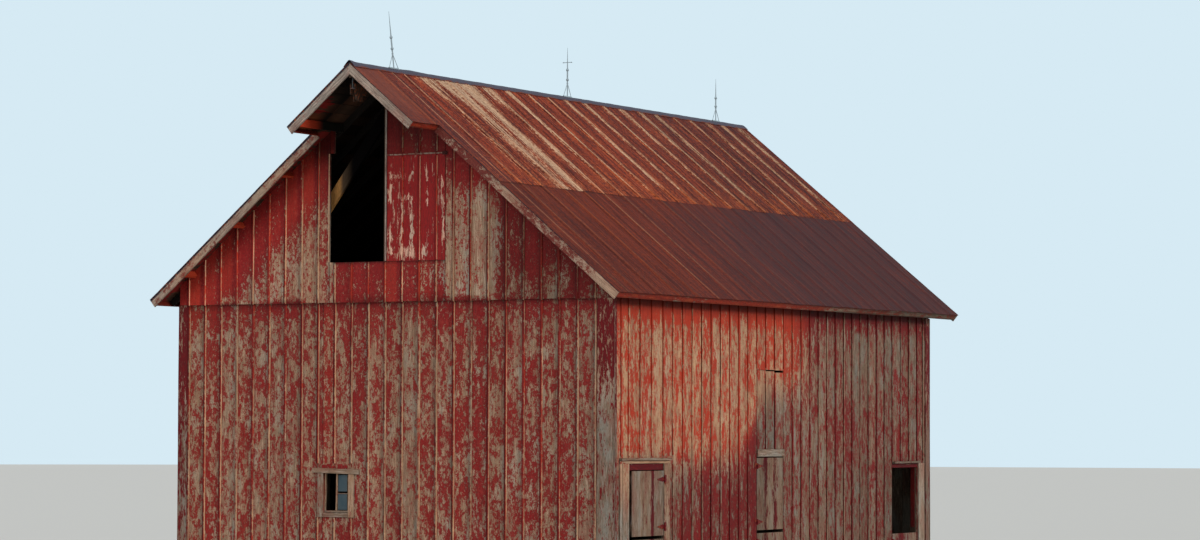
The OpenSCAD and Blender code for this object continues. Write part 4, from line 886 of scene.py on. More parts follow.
def rear_look(x, z):
    """Rear wall and gable, which the picture doesn't show: paint is kept below the rakes and the belt."""
    under = rake_line(x) - z
    gable = 0.12 + 0.42 * smooth(0.3, 1.1, under)
    lower = 0.5 - 0.2 * smooth(4.2, 4.52, z) + 0.06 * np.sin(1.9 * x)
    return np.where(z > BELT, gable, lower), 0.5 + 0 * z, 0.3 + 0 * z


def even(wear, warm, tone=0.5):
    """A look that is the same all over."""
    return lambda a, l: (wear + 0 * l, tone + 0 * l, warm + 0 * l)


def batten_look(base):
    """Battens wear as the boards behind them do, and are warmer."""
    def look(a, l):
        wear, tone, warm = base(a, l)
        return wear * 0.9, tone - 0.02, warm + 0.15
    return look


# Pieces


class BarnOperator(bpy.types.Operator):
    """What the barn's operators share."""

    bl_options = {"REGISTER", "UNDO"}


def gable_edges():
    """Board joints across a gable, one behind each batten, and the same with both corners."""
    pitch = bpy.context.scene.barn_boards.pitch
    joints = FIRST_BATTEN + pitch * np.arange(GABLE_BATTENS)
    return joints, np.concatenate([[-HALF_W], joints, [HALF_W]])


def lay_battens(boards, place, joints, low, high, offset, look, seed, top=None, left=BATTEN_LEFT,
                right=BATTEN_RIGHT):
    """Battens over joints. On the gables their right edge is bare and warm, partly wear and partly painted
    sunlight, and their left edge dark with painted shade.
    """
    sizes = bpy.context.scene.barn_boards
    return boards.add(place, joints, sizes.batten_w, low, high, sizes.batten_t, offset, batten_look(look),
                      seed, left=left, right=right, spread=0.25, top=top, ragged=True, wander=0.001,
                      bare_back=False, vary=0.6)


# The hole behind the window: left, right and top, the board joints left of, behind and right of it, and
# where the battens stop below it and go on above it
WINDOW_HOLE = (-1.214, -0.70, 2.0)
WINDOW_JOINTS = (-1.3056, -0.9958, -0.686)
WINDOW_STOPS = (1.255, 2.085)


class BARN_OT_front_wall(BarnOperator):
    """Boards and battens of the front wall below the belt"""

    bl_idname = "barn.front_wall"
    bl_label = "Front Wall"

    def execute(self, context):
        joints, edges = gable_edges()
        low, high = WALL_LOW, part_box("front_wall")[1].z
        west, east, hole_high = WINDOW_HOLE
        hole_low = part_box("window_frame")[0].z + TIGHT
        mid, wide = between(edges, context.scene.barn_boards.gap)
        whole = (edges[1:] <= west + 0.05) | (edges[:-1] >= east - 0.05)
        boards = Boards().add(FRONT, mid[whole], wide[whole], low, high, SIDING, look=front_look, seed=11,
                              ragged=True, **SHADED)
        first, middle, last = WINDOW_JOINTS
        full, cut = [(low, high)], [(low, hole_low), (hole_high, high)]
        rows = ((first, west, full), (west, middle, cut), (middle, east, cut), (east, last, full))
        for i, (a, b, spans) in enumerate(rows):
            for j, (z0, z1) in enumerate(spans):
                boards.add(FRONT, (a + b) / 2, b - a - TIGHT, z0, z1, SIDING, look=front_look,
                           seed=31 + 2 * i + j)
        boards.piece("front_wall_boards", paint("barn_paint"), nodes=("front_wall",))
        clear = (joints < -1.4) | (joints > -0.6)
        strips = Boards()
        below, above = WINDOW_STOPS
        top = BELT - 0.006
        for line, z0, z1, seed in ((joints[clear], low, top, 12), (joints[~clear], above, top, 13),
                                   (joints[~clear], low, below, 14)):
            lay_battens(strips, FRONT, line, z0, z1, SIDING, front_look, seed)
        strips.piece("front_wall_battens", paint("barn_paint"))
        return {"FINISHED"}


class BARN_OT_front_gable(BarnOperator):
    """Boards and battens of the front gable round the hay opening"""

    bl_idname = "barn.front_gable"
    bl_label = "Front Gable"

    def execute(self, context):
        joints, edges = gable_edges()
        left, right, sill, head, step = OPENING
        inner = edges[edges < right - 0.05]
        groups = (
            ([*edges[edges < left - 0.05], left], BELT, ABOVE_ROOF, 21),
            ([right, *edges[edges > right + 0.05]], BELT, ABOVE_ROOF, 22),
            ([left, *inner[inner > left + 0.05], right], BELT, sill, 23),
            ([-0.039, *inner[inner > 0.1], right - TIGHT], head, ABOVE_ROOF, 24),
            ([left + TIGHT, -1.003], step, ABOVE_ROOF, 25),
        )
        boards = Boards()
        for line, low, high, seed in groups:
            mid, wide = between(line, context.scene.barn_boards.gap)
            boards.add(FRONT, mid, wide, low, high, SIDING, SIDING, front_look, seed, top=rake_line,
                       ragged=True, **SHADED)
        boards.piece("front_gable_boards", paint("barn_paint"), nodes=("front_gable",))
        strips = Boards()
        full = (joints < -1.2) | (joints > 1.1)
        over = ~full & (joints > 0.1)
        for line, low, high, seed, top in ((joints[full], BELT - 0.01, ABOVE_ROOF, 26, rake_line),
                                           (joints[~full], BELT - 0.01, sill - 0.012, 27, None),
                                           (joints[over], head + 0.035, ABOVE_ROOF, 28, rake_line)):
            lay_battens(strips, FRONT, line, low, high, 2 * SIDING, front_look, seed, top)
        strips.piece("front_gable_battens", paint("barn_paint"))
        # Plane, middle, width, from, to, thickness, look, seed and spread of the strip over the door, the
        # strips beside the open half, and the dark block at the end of the first
        rows = ((FRONT_FLAT, -6.805, 0.022, -0.03, 1.0, 0.02, even(0.6, 0.2), 29, 0.08),
                (FRONT, -0.054, 0.026, sill + 0.006, 7.74, 0.012, even(0.95, 0.0), 30, 0.0),
                (FRONT, left - 0.012, 0.02, sill + 0.006, 6.86, 0.012, even(1.0, 1.0), 32, 0.0),
                (FRONT_FLAT, -6.803, 0.05, 0.985, 1.06, 0.03, even(0.0, 0.0, 0.0), 33, 0.08))
        rail = Boards()
        for place, mid, wide, low, high, thick, look, seed, spread in rows:
            rail.add(place, mid, wide, low, high, thick, 2 * SIDING, look, seed, spread=spread)
        rail.piece("hay_opening_trim", paint("rake_paint"), slot="weathered_trim")
        return {"FINISHED"}


class BARN_OT_rear_walls(BarnOperator):
    """Boards and battens of the rear wall and the rear gable"""

    bl_idname = "barn.rear_walls"
    bl_label = "Rear Walls"

    def execute(self, context):
        joints, edges = gable_edges()
        mid, wide = between(edges, context.scene.barn_boards.gap)
        wall = Boards().add(REAR, mid, wide, WALL_LOW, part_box("rear_wall")[1].z, SIDING, look=rear_look,
                            seed=41, ragged=True)
        wall.piece("rear_wall_boards", paint("barn_paint"), nodes=("rear_wall",))
        gable = Boards().add(REAR, mid, wide, BELT, ABOVE_ROOF, SIDING, SIDING, rear_look, 42, top=rake_line,
                             ragged=True)
        gable.piece("rear_gable_boards", paint("barn_paint"), nodes=("rear_gable",))
        strips = Boards()
        lay_battens(strips, REAR, joints, WALL_LOW, BELT - 0.006, SIDING, rear_look, 43)
        lay_battens(strips, REAR, joints, BELT - 0.01, ABOVE_ROOF, 2 * SIDING, rear_look, 44, rake_line)
        strips.piece("rear_battens", paint("barn_paint"))
        return {"FINISHED"}


class BARN_OT_side_walls(BarnOperator):
    """Boards and battens of both side walls, cut out at the doorways of the right one"""

    bl_idname = "barn.side_walls"
    bl_label = "Side Walls"

    def execute(self, context):
        gap = context.scene.barn_boards.gap
        self.right_wall(gap)
        lining = Place((0, FRONT_Y + 10.4895, 0), UP, (0, -1, 0))
        strip = Boards().add(lining, 3.885, 0.08, 0.95, 1.975, 0.008, look=even(0.02, 0.0, 0.1), seed=68)
        strip.piece("rear_door_lining", paint("side_paint"))
        line = -np.linspace(SIDING + TIGHT, LONG - SIDING - TIGHT, 36)[::-1]
        mid, wide = between(line, gap)
        wall = Boards().add(LEFT, mid, wide, WALL_LOW, WALL_TOP, SIDING, look=far_look, seed=66, ragged=True)
        wall.piece("left_wall_boards", paint("barn_paint"), nodes=("left_wall",))
        strips = lay_battens(Boards(), LEFT, line[1:-1], WALL_LOW, WALL_TOP - TIGHT, SIDING, far_look, 67)
        strips.piece("left_wall_battens", paint("barn_paint"))
        return {"FINISHED"}

    def right_wall(self, gap):
        """Boards from joint to joint, even in each run; those over the doorways start at the doors' heads."""
        runs = [np.linspace(a, b, count + 1) for a, b, count in SIDE_RUNS]
        runs[0][0], runs[-1][-1] = SIDING + TIGHT, LONG - SIDING - TIGHT
        wall, over = Boards(), Boards()
        for i, line in enumerate(runs):
            mid, wide = between(line, gap)
            target = over if i in DOOR_HEADS else wall
            target.add(RIGHT, mid, wide, DOOR_HEADS.get(i, WALL_LOW), WALL_TOP, SIDING, look=side_look,
                       seed=51 + i, ragged=True)
        wall.piece("right_wall_boards", paint("side_paint"), nodes=("right_wall",))
        over.piece("right_wall_upper_boards", paint("side_paint"), nodes=("right_wall_over_doors",))
        beside = runs[2][1]
        rows = (([*runs[2][2:-1], *runs[4][1:-1]], WALL_LOW, WALL_TOP, 61),
                ([0.22, *runs[1], beside], 2.235, WALL_TOP, 62), (runs[3], 3.60, WALL_TOP, 63),
                ([*runs[5], 10.73], 2.09, WALL_TOP, 64), ([beside], WALL_LOW, 2.11, 65))
        strips = Boards()
        for line, low, high, seed in rows:
            lay_battens(strips, RIGHT, line, low, high - TIGHT, SIDING, side_look, seed, **FLANK_SHADE)
        strips.piece("right_wall_battens", paint("side_paint"))


# Joints between the boards of the hay door's leaf, and the tops of the mow door's three boards
LEAF_JOINTS = (0.2434, 0.5532, 0.863)
MOW_TOPS = 3.566 - np.array([0.0, 0.012, 0.03])


class BARN_OT_hay_doors(BarnOperator):
    """Leaf of the hay door and the mow door, with the ledges on their backs"""

    bl_idname = "barn.hay_doors"
    bl_label = "Hay Doors"

    def execute(self, context):
        low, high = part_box("hay_door")
        mid, wide = between([low.x, *LEAF_JOINTS, high.x], DOOR_GAP)
        leaf = Boards().add(FRONT, mid, wide, low.z, high.z, SIDING, SIDING, leaf_look, 71)
        lay_battens(leaf, FRONT, LEAF_JOINTS, low.z + 0.01, high.z - 0.025, 2 * SIDING, leaf_look, 72)
        for z in (5.18 + 0.12, 6.80 - 0.24):
            leaf.add(FRONT_FLAT, -(z + LEDGE_W / 2), LEDGE_W, low.x + 0.006, high.x - 0.006, LEDGE_T, 0.003,
                     even(0.95, 0.3), 73, ragged=True)
        leaf.piece("hay_door_leaf", paint("leaf_paint"), nodes=("hay_door",))
        low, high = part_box("mow_door")
        edges = np.linspace(low.y - FRONT_Y, high.y - FRONT_Y, 4)
        mid, wide = between(edges, DOOR_GAP)
        mow = Boards().add(RIGHT, mid, wide, low.z, MOW_TOPS, SIDING, 0.0, side_look, 74)
        lay_battens(mow, RIGHT, edges[1:-1], low.z + 0.01, high.z - 0.02, SIDING, side_look, 75, **FLANK_SHADE)
        for z in (2.318 + 0.12, high.z - 0.24):
            mow.add(RIGHT_FLAT, -(z + LEDGE_W / 2), LEDGE_W, edges[0] + 0.006, edges[-1] - 0.006, LEDGE_T,
                    -LEDGE_T, even(0.95, 0.3), 76, ragged=True)
        mow.piece("mow_door_leaf", paint("side_paint"), nodes=("mow_door",))
        return {"FINISHED"}


def front_leaf_look(s, z):
    """Front door: pale boards beside a mauve brown one, a deep red seam, dark paint along the left edge."""
    red = patch(s, 0.0, 1.14, 0.0, 0.04, 1.0) + smooth(0.475, 0.455, s)
    middle = smooth(0.77, 0.80, s) * smooth(1.16, 1.13, s)
    wear = 0.97 - 0.17 * middle - 0.95 * red
    tone = 0.39 - 0.1 * middle - 0.3 * smooth(0.475, 0.455, s)
    return wear + 0 * z, tone - 0.1 * smooth(1.3, 0.7, z), 0.1 + 0.3 * middle + 0 * z


def middle_leaf_look(s, z):
    """Middle door: three grey strips with deep red strips between them."""
    far = np.minimum(np.abs(s - 4.82), np.abs(s - 5.12))
    strip = smooth(0.075, 0.05, far) * (0.75 + 0.25 * np.sin(4.0 * z + 9.0 * s))
    return 0.82 - 0.6 * strip, 0.24 - 0.05 * np.sin(7.0 * s) + 0 * z, 0.2 + 0 * z


def rear_leaf_look(s, z):
    """Rear door: grey, with paint left low down near its far edge."""
    return 0.7 - 0.4 * patch(s, z, 9.9, 0.7, 0.3, 0.3), 0.42 + 0 * z, 0.1 + 0 * z


# Leaves of the stall doors: body, CAD node, how far their back is from the siding's back, seed and look. Then
# their thickness
LEAVES = (
    ("front_upper_leaf", "front_door_upper", 0.022, 81, front_leaf_look),
    ("front_lower_leaf", "front_door_lower", 0.022, 81, front_leaf_look),
    ("middle_upper_leaf", "middle_door_upper", 0.0, 83, middle_leaf_look),
    ("middle_lower_leaf", "middle_door_lower", 0.0, 83, middle_leaf_look),
    ("rear_lower_leaf", "rear_door_lower", 0.0, 85, rear_leaf_look),
)
LEAF_T = 0.0245


class BARN_OT_stall_doors(BarnOperator):
    """Hinged leaves of the animals' doors: three boards each, with two ledges on the back"""

    bl_idname = "barn.stall_doors"
    bl_label = "Stall Doors"

    def execute(self, context):
        dark = (0, -0.1, 0, 0, 0)
        for body, node, offset, seed, look in LEAVES:
            low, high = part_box(node)
            y0, y1 = low.y - FRONT_Y, high.y - FRONT_Y
            mid, wide = between(np.linspace(y0, y1, 4), DOOR_GAP)
            leaf = Boards().add(RIGHT, mid, wide, low.z, high.z, LEAF_T, offset, look, seed, left=dark,
                                right=dark, spread=0.02)
            for z in (low.z + 0.13, high.z - 0.13):
                leaf.add(RIGHT_FLAT, -z, LEDGE_W, y0 + 0.01, y1 - 0.01, LEDGE_T, offset - LEDGE_T,
                         even(0.95, 0.3), seed + 10, ragged=True)
            leaf.piece(node + "_boards", paint("stall_paint"), body=body, nodes=(node,))
        return {"FINISHED"}


def corner_look(x, z):
    """Corner boards: red above, pale and pinkish below it, grey at the foot."""
    return (0.44 - 0.14 * smooth(3.2, 3.8, z) + 0.2 * smooth(3.2, 2.4, z), 0.44 - 0.09 * smooth(3.2, 2.4, z),
            0.4 * smooth(2.6, 3.4, z))


def casing_look(s, z):
    """Casings of the front door: tan above, grey below."""
    return 0.84 + 0.1 * smooth(1.8, 1.2, z), 0.55 + 0 * z, 0.8 * smooth(1.1, 2.0, z)


def head_look(s, z):
    """Head casing of the front door: a line of red above, red spilled at its left end, tan wood else."""
    return 0.8 - 0.6 * patch(-s, z, 2.125, 0.2, 0.06, 0.1), 0.5 + 0 * z, 0.7 + 0 * z


# Corner boards of the gables: plane, outer edge, inner edge, seed
CORNER = HALF_W + CASING
CORNER_ROWS = ((FRONT, CORNER, 3.685, 91), (FRONT, -CORNER, -3.805, 92), (REAR, CORNER, 3.805, 93),
               (REAR, -CORNER, -3.805, 94))

# Casings beside the side doorways: from, to, top, look, seed
CASING_ROWS = ((0.16, 0.232, 2.12, casing_look, 97), (0.236, 0.44, 2.12, casing_look, 98),
               (1.49, 1.675, 2.12, even(0.72, 0.5, 0.42), 99),
               (10.52, 10.76, 2.05, even(0.98, 0.0, 0.62), 104))

# Boards over the side doorways: height, width, from, to, thickness, how far their back is from the siding's
# back, look, seed and how dark their upper edge is, or None for the usual wear there. They are the head
# casing, the board under the mow door, two drip caps and two headers
# Their dark upper edges are painted shadow under what lies above them
HEAD_ROWS = ((2.1425, 0.044, 0.16, 1.675, CASING, SIDING, head_look, 100, -0.4),
             (2.257, 0.119, 4.53, 5.45, CASING, SIDING, even(0.95, 0.1, 0.58), 103, -0.4),
             (2.1845, 0.034, 0.16, 1.675, 0.06, SIDING, even(0.95, 0.1, 0.35), 101, None),
             (2.0695, 0.034, 9.50, 10.52, 0.06, SIDING, even(0.95, 0.1, 0.35), 106, None),
             (2.07, 0.098, 0.442, 1.488, LEAF_T, 0.0, even(0.02, 0.0, 0.42), 102, -0.5),
             (2.015, 0.068, 9.502, 10.488, LEAF_T, 0.0, even(0.02, 0.0, 0.42), 105, -0.5))


class BARN_OT_trim(BarnOperator):
    """Corner boards, door casings, headers, drip caps and the board under the mow door"""

    bl_idname = "barn.trim"
    bl_label = "Trim Boards"

    def execute(self, context):
        top = BELT - 0.001
        trim = Boards()
        for place, outer, inner, seed in CORNER_ROWS:
            trim.add(place, (outer + inner) / 2, abs(outer - inner), WALL_LOW, top, CASING, SIDING,
                     corner_look, seed)
        for place, sign in ((RIGHT, 1), (LEFT, -1)):
            for mid, wide, seed in ((0.031, 0.058, 95), (LONG - 0.081, 0.158, 96)):
                trim.add(place, sign * mid, wide, WALL_LOW, top, CASING, SIDING, corner_look, seed)
        for a, b, high, look, seed in CASING_ROWS:
            trim.add(RIGHT, (a + b) / 2, b - a - TIGHT, WALL_LOW, high, CASING, SIDING, look, seed,
                     left=(0, -0.3, 0, 0, 0))
        for z, wide, a, b, thick, offset, look, seed, dark in HEAD_ROWS:
            edge = WORN if dark is None else (0, dark, 0, 0, 0)
            trim.add(RIGHT_FLAT, -z, wide, a, b, thick, offset, look, seed, left=edge)
        trim.piece("trim_planks", paint("stall_paint"), nodes=("trim_boards",), slot="weathered_trim")
        return {"FINISHED"}


# The window: its middle, half its clear width, the height of its sill and of its head
WINDOW = (-0.957, 0.23, 1.335, 1.956)
JAMB_LOW = 1.263

# Ends of the wall's boards that show over the window's head: middles, widths and tops
STUBS = ((-1.17, -1.085, -0.88, -0.79), (0.10, 0.08, 0.09, 0.09), (2.066, 2.078, 2.078, 2.06))


class BARN_OT_window(BarnOperator):
    """Casings, head, sill, jambs and bars of the window, and the board ends over it"""

    bl_idname = "barn.window"
    bl_label = "Window"

    def execute(self, context):
        self.casing()
        mid, wide, tops = STUBS
        stubs = Boards().add(FRONT, mid, wide, 2.006, tops, 0.014, SIDING, even(0.02, 0.3, 0.6), 120,
                             ragged=True)
        stubs.piece("window_head_stubs", paint("barn_paint"))
        self.sash()
        return {"FINISHED"}

    def casing(self):
        """Casings and jambs on both sides, the head's casing, the sill and the head."""
        x, half, z0, z1 = WINDOW
        planks = Boards()
        for side, look, wander in ((-1, even(0.95, 0.15, 0.46), 0.0015), (1, even(0.95, 0.4, 0.5), 0.006)):
            planks.add(FRONT, x + side * (half + 0.053), 0.104, JAMB_LOW, z1, CASING, SIDING, look,
                       111 + side, wander=wander)
            planks.add(FRONT, x + side * (half + 0.0125), 0.024, JAMB_LOW, z1 + 0.025, 0.085, -0.06,
                       even(0.3, 0.9), 114 + side)
        planks.add(FRONT_FLAT, -(z1 + 0.0125), 0.075, x - half - 0.2, x + half + 0.2, 0.033, SIDING,
                   even(1.0, 0.1, 0.5), 117, wander=0.004, lean=0.02)
        planks.add(FRONT_FLAT, -(z0 - 0.036), 0.07, x - half + TIGHT, x + half - TIGHT, 0.132, -0.085,
                   even(1.0, 0.0, 0.45), 118)
        planks.add(FRONT_FLAT, -(z1 + 0.0125), 0.024, x - half, x + half, 0.085, -0.085,
                   even(0.9, 0, 0.1), 119)
        planks.piece("window_planks", paint("stall_paint"), nodes=("window_frame",), slot="weathered_trim")

    def sash(self):
        """Stiles and middle bar, the two rails, and the short bar between the right half's panes."""
        x = WINDOW[0]
        low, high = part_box("window_sash")
        back, deep = FRONT_Y + SIDING - high.y, high.y - low.y
        jamb, grey = even(0.8, 0.45, 0.45), even(1.0, 0.0, 0.45)
        sash = Boards()
        for mid, wide, lean in ((low.x + 0.013, 0.022, 0.02), (x, 0.03, 0.02), (high.x - 0.012, 0.022, 0.0)):
            sash.add(FRONT, mid, wide, low.z + 0.03, high.z - 0.016, deep - 0.002, back, jamb, 121,
                     wander=0.001, lean=lean)
        for z, wide in ((low.z + 0.015, 0.028), (high.z - 0.008, 0.014)):
            sash.add(FRONT_FLAT, -z, wide, low.x, high.x, deep - 0.002, back, grey, 125, wander=0.0)
        sash.add(FRONT_FLAT, -(low.z + high.z) / 2 + 0.018, 0.014, x + 0.018, high.x - 0.024, deep - 0.012,
                 back + 0.004, even(1.0, 0.0, 0.2), 127)
        sash.piece("window_bars", paint("stall_paint"), nodes=("window_sash",), slot="weathered_trim")


# Rake boards of the hood, the front and the rear: which way they face, the place of their back, and from
# where to where down the slope. Then their width and thickness, and the thickness of the strips on them
RAKES = ((-1, HOOD_Y + CASING, -0.2, HOOD_LEN), (-1, RAKE_Y + CASING, HOOD_LEN + TIGHT, SLOPE_LEN),
         (1, TAIL_Y - CASING, -0.2, SLOPE_LEN))
RAKE_W, RAKE_T, STRIP_T = 0.138, 0.021, 0.0015

# Eave boards of the slopes and of the hood: how far down the slope, from, to and seed. Then their width
EAVES = ((SLOPE_LEN, RAKE_Y + CASING, TAIL_Y - CASING, 141), (HOOD_LEN, HOOD_Y + CASING, RAKE_Y - TIGHT, 143))
EAVE_W = 0.108

# Changes at an eave board's upper and lower edge: painted shadow under the sheets' edge darkens the upper
# one, and painted shade the lower one
EAVE_HIGH = (0, -0.5, 0.0, 1, 0.25)
EAVE_LOW = (0.1, -0.25, -0.3, 1, 0.0)


def plumb_cut(sign):
    """Upright cut at the ridge: its place down the slope grows with the depth across the board."""
    return lambda across: (0.001 + sign * across * SIN) / COS


def fascia_look(place, side):
    """Rake boards by place: 0 the hood's, mottled grey, 1 the front's, 2 the rear's. Red is left on the upper
    part of the front's right board, which is bare in two stretches lower down."""
    def look(a, l):
        if place == 0:
            return 0.86 + 0.1 * np.sin(7.0 * l) + 0 * a, 0.5 + 0.08 * np.sin(17.0 * l) + 0 * a, 0.1 + 0 * a
        if place == 1 and side > 0:
            bare = 0.8 * patch(l, 0.0, 3.12, 0.0, 0.22, 1.0) + patch(l, 0.0, 5.3, 0.0, 0.36, 1.0)
            return (0.26 + 0.2 * smooth(2.5, 2.8, l) + 0.6 * bare + 0 * a, 0.4 + 0.06 * bare + 0 * a,
                    0.35 + 0.2 * bare + 0 * a)
        return 0.70 + 0.12 * np.sin(2.3 * l) + 0 * a, 0.42 + 0 * a, 0.4 + 0.2 * np.sin(3.1 * l) + 0 * a
    return look


def eave_look(a, y):
    """Eave boards: red orange in front, grey brown and darker behind; their painted shade lies at their
    edges.
    """
    rear = smooth(0.0, 3.5, y)
    return 0.1 + 0.3 * rear, 0.5 - 0.35 * rear + 0 * a, 0.45 - 0.3 * rear + 0 * a


class BARN_OT_roof_edges(BarnOperator):
    """Rake boards of the gables and the hood, and the eave boards"""

    bl_idname = "barn.roof_edges"
    bl_label = "Rake and Eave Boards"

    def execute(self, context):
        rakes, verge, eaves = Boards(), Boards(), Boards()
        dark = (0, -0.2, 0, 0, 0)
        for i, (out_y, y, start, end) in enumerate(RAKES):
            for side in (-1, 1):
                place = Place((0, y, DECK), (side * COS, 0, -SIN), (0, out_y, 0))
                sign = 1.0 if place.across[2] < 0 else -1.0
                wide = 0.026 if side < 0 else 0.012
                cut = plumb_cut(sign)
                rakes.add(place, sign * (RAKE_W / 2 + 0.001), RAKE_W, start, end, RAKE_T, 0.0,
                          fascia_look(i, side), 131 + 2 * i + side, bottom=cut, left=dark, right=dark)
                verge.add(place, sign * (wide / 2 + 0.001), wide, start, end, STRIP_T, RAKE_T, seed=151 + i,
                          bare_back=False, bottom=cut)
        rakes.piece("rake_planks", paint("rake_paint"), nodes=("rake_boards",), slot="weathered_trim")
        metal = old_iron("verge_iron", 0.3, context.scene.barn_colours.verge)
        verge.piece("verge_strips", metal, slot="dark_iron")
        for side in (-1, 1):
            for u, y0, y1, seed in EAVES:
                back = u - CASING
                place = Place((side * back * COS, 0, DECK - back * SIN), REARWARD, (side * COS, 0, -SIN))
                sign = 1.0 if place.across[2] < 0 else -1.0
                left, right = (EAVE_LOW, EAVE_HIGH) if sign < 0 else (EAVE_HIGH, EAVE_LOW)
                eaves.add(place, sign * 0.055, EAVE_W, y0, y1, RAKE_T, 0.0, eave_look, seed + side,
                          bare_back=False, left=left, right=right)
        eaves.piece("eave_planks", paint("eave_paint"), nodes=("eave_boards",), slot="red_trim")
        return {"FINISHED"}


def deck_look(side):
    """Roof boards: dark inside and under the hood, painted shade; red along its left rake and under the
    rakes.
    Under the hood that red is lighter and its left eave orange, both painted sunlight."""
    def look(u, y):
        down = np.abs(u)
        hood = smooth(RAKE_Y + 0.1, RAKE_Y - 0.05, y)
        verge = smooth(FRONT_Y + 0.1, FRONT_Y - 0.05, y) * (1 - hood) * smooth(HOOD_LEN - 0.1, HOOD_LEN, down)
        red = smooth(0.55, 0.8, down) * smooth(HOOD_Y + 0.75, HOOD_Y + 0.3, y) * (side < 0)
        low = smooth(1.05, 1.2, down) * smooth(HOOD_Y + 0.75, HOOD_Y + 0.4, y) * (side < 0) * hood
        inside = smooth(FRONT_Y - 0.05, FRONT_Y + 0.1, y) * smooth(REAR_Y + 0.05, REAR_Y - 0.1, y)
        inside = inside * smooth(HALF_W / COS + 0.05, HALF_W / COS - 0.1, down)
        # Painted shade inside and under the hood, lightened as painted sunlight where red and low are
        tone = 0.38 - 0.3 * inside - hood * (0.36 - 0.42 * np.maximum(red, low)) + 0.1 * verge
        return 1.0 - 0.95 * np.maximum(red * hood * (1 - low), verge), tone, 0.1 + 0.8 * low
    return look


class BARN_OT_roof_deck(BarnOperator):
    """Boards under the roof sheets, laid along the barn on the rafters"""

    bl_idname = "barn.roof_deck"
    bl_label = "Roof Boards"

    def execute(self, context):
        board = context.scene.barn_boards.roof_board
        start = (0.003 + DECK_T * SIN) / COS
        joint = RAKE_Y + CASING
        deck = Boards()
        for side in (-1, 1):
            origin = (-side * SIN * DECK_T, 0, DECK - DECK_T * COS)
            place = Place(origin, REARWARD, (side * SIN, 0, COS))
            sign = 1.0 if place.across[0] * side > 0 else -1.0
            for y0, y1, end, seed in ((joint, TAIL_Y - CASING, SLOPE_LEN - CASING, 151),
                                      (HOOD_Y + CASING, joint - TIGHT, HOOD_LEN - CASING, 155)):
                mid, wide = between(np.linspace(start, end, int(round((end - start) / board)) + 1), 0.006)
                deck.add(place, sign * mid, wide, y0 + 0.001, y1 - 0.001, DECK_T - 0.001, 0.0,
                         deck_look(side), seed + side, wander=0.001, left=PLAIN, right=PLAIN, bare_back=False)
        deck.piece("roof_planks", deck_boards(), nodes=("roof_boards",), slot="bare_timber")
        return {"FINISHED"}


def plate_faces(count_u, count_v):
    """Faces of a thin closed plate of two grids: the upper one, the lower one turned over, the edge band."""
    size = count_u * count_v
    grid = np.arange(size).reshape(count_u, count_v)
    a, b, c, d = grid[:-1, :-1], grid[1:, :-1], grid[1:, 1:], grid[:-1, 1:]
    top = np.stack([a, b, c, d], -1).reshape(-1, 4)
    rim = np.concatenate([grid[:, 0], grid[-1, 1:], grid[-2::-1, -1], grid[0, -2:0:-1]])
    ahead = np.roll(rim, -1)
    return np.concatenate([top, top[:, ::-1] + size, np.stack([rim, rim + size, ahead + size, ahead], -1)])


def plate(name, top, under, degrees):
    """Mesh of a thin closed plate, smooth but for edges sharper than this angle."""
    mesh = bpy.data.meshes.new(name)
    points = np.concatenate([top.reshape(-1, 3), under.reshape(-1, 3)])
    mesh.from_pydata(points.tolist(), [], plate_faces(*top.shape[:2]).tolist())
    mesh.polygons.foreach_set("use_smooth", np.ones(len(mesh.polygons), bool))
    mesh.set_sharp_from_angle(angle=math.radians(degrees))
    return mesh


def crimp_line(y0, y1):
    """Columns across the sheets from y0 to y1: places, part of the crimp's height there, distance to the
    nearest joint, and 1 at the crimp in a sheet's middle. Each crimp is a rounded tent of five points."""
    roof = bpy.context.scene.barn_roof
    joints = np.arange(y0, y1 + roof.cover, roof.cover)
    spots = np.sort(np.concatenate([joints - roof.pair / 2, joints + roof.pair / 2, joints + roof.cover / 2]))
    spots = spots[(spots > y0 + roof.crimp_w) & (spots < y1 - roof.crimp_w)]
    tent = np.array([-0.5, -0.2, 0.0, 0.2, 0.5]) * roof.crimp_w
    rise = np.array([0.0, 0.72, 1.0, 0.72, 0.0])
    half = 0.5 * roof.crimp_w
    flats = np.concatenate([np.linspace(a + half, b - half, max(2, int((b - a) / 0.07)) + 1)[1:-1]
                            for a, b in zip(np.append(y0 - half, spots), np.append(spots, y1 + half))])
    y = np.concatenate([(spots[:, None] + tent).ravel(), flats, [y0, y1]])
    h = np.concatenate([np.tile(rise, len(spots)), 0 * flats, [0, 0]])
    order = np.argsort(y)
    y, h = y[order], h[order]
    far = np.min(np.abs(y[:, None] - joints[None, :]), axis=1)
    mid = (np.min(np.abs(y[:, None] - joints[None, :] - roof.cover / 2), axis=1) < roof.crimp_w) * 1.0
    return y, h, far, mid


# Kinds of course
UPPER, LOWER, HOOD = 0, 1, 2


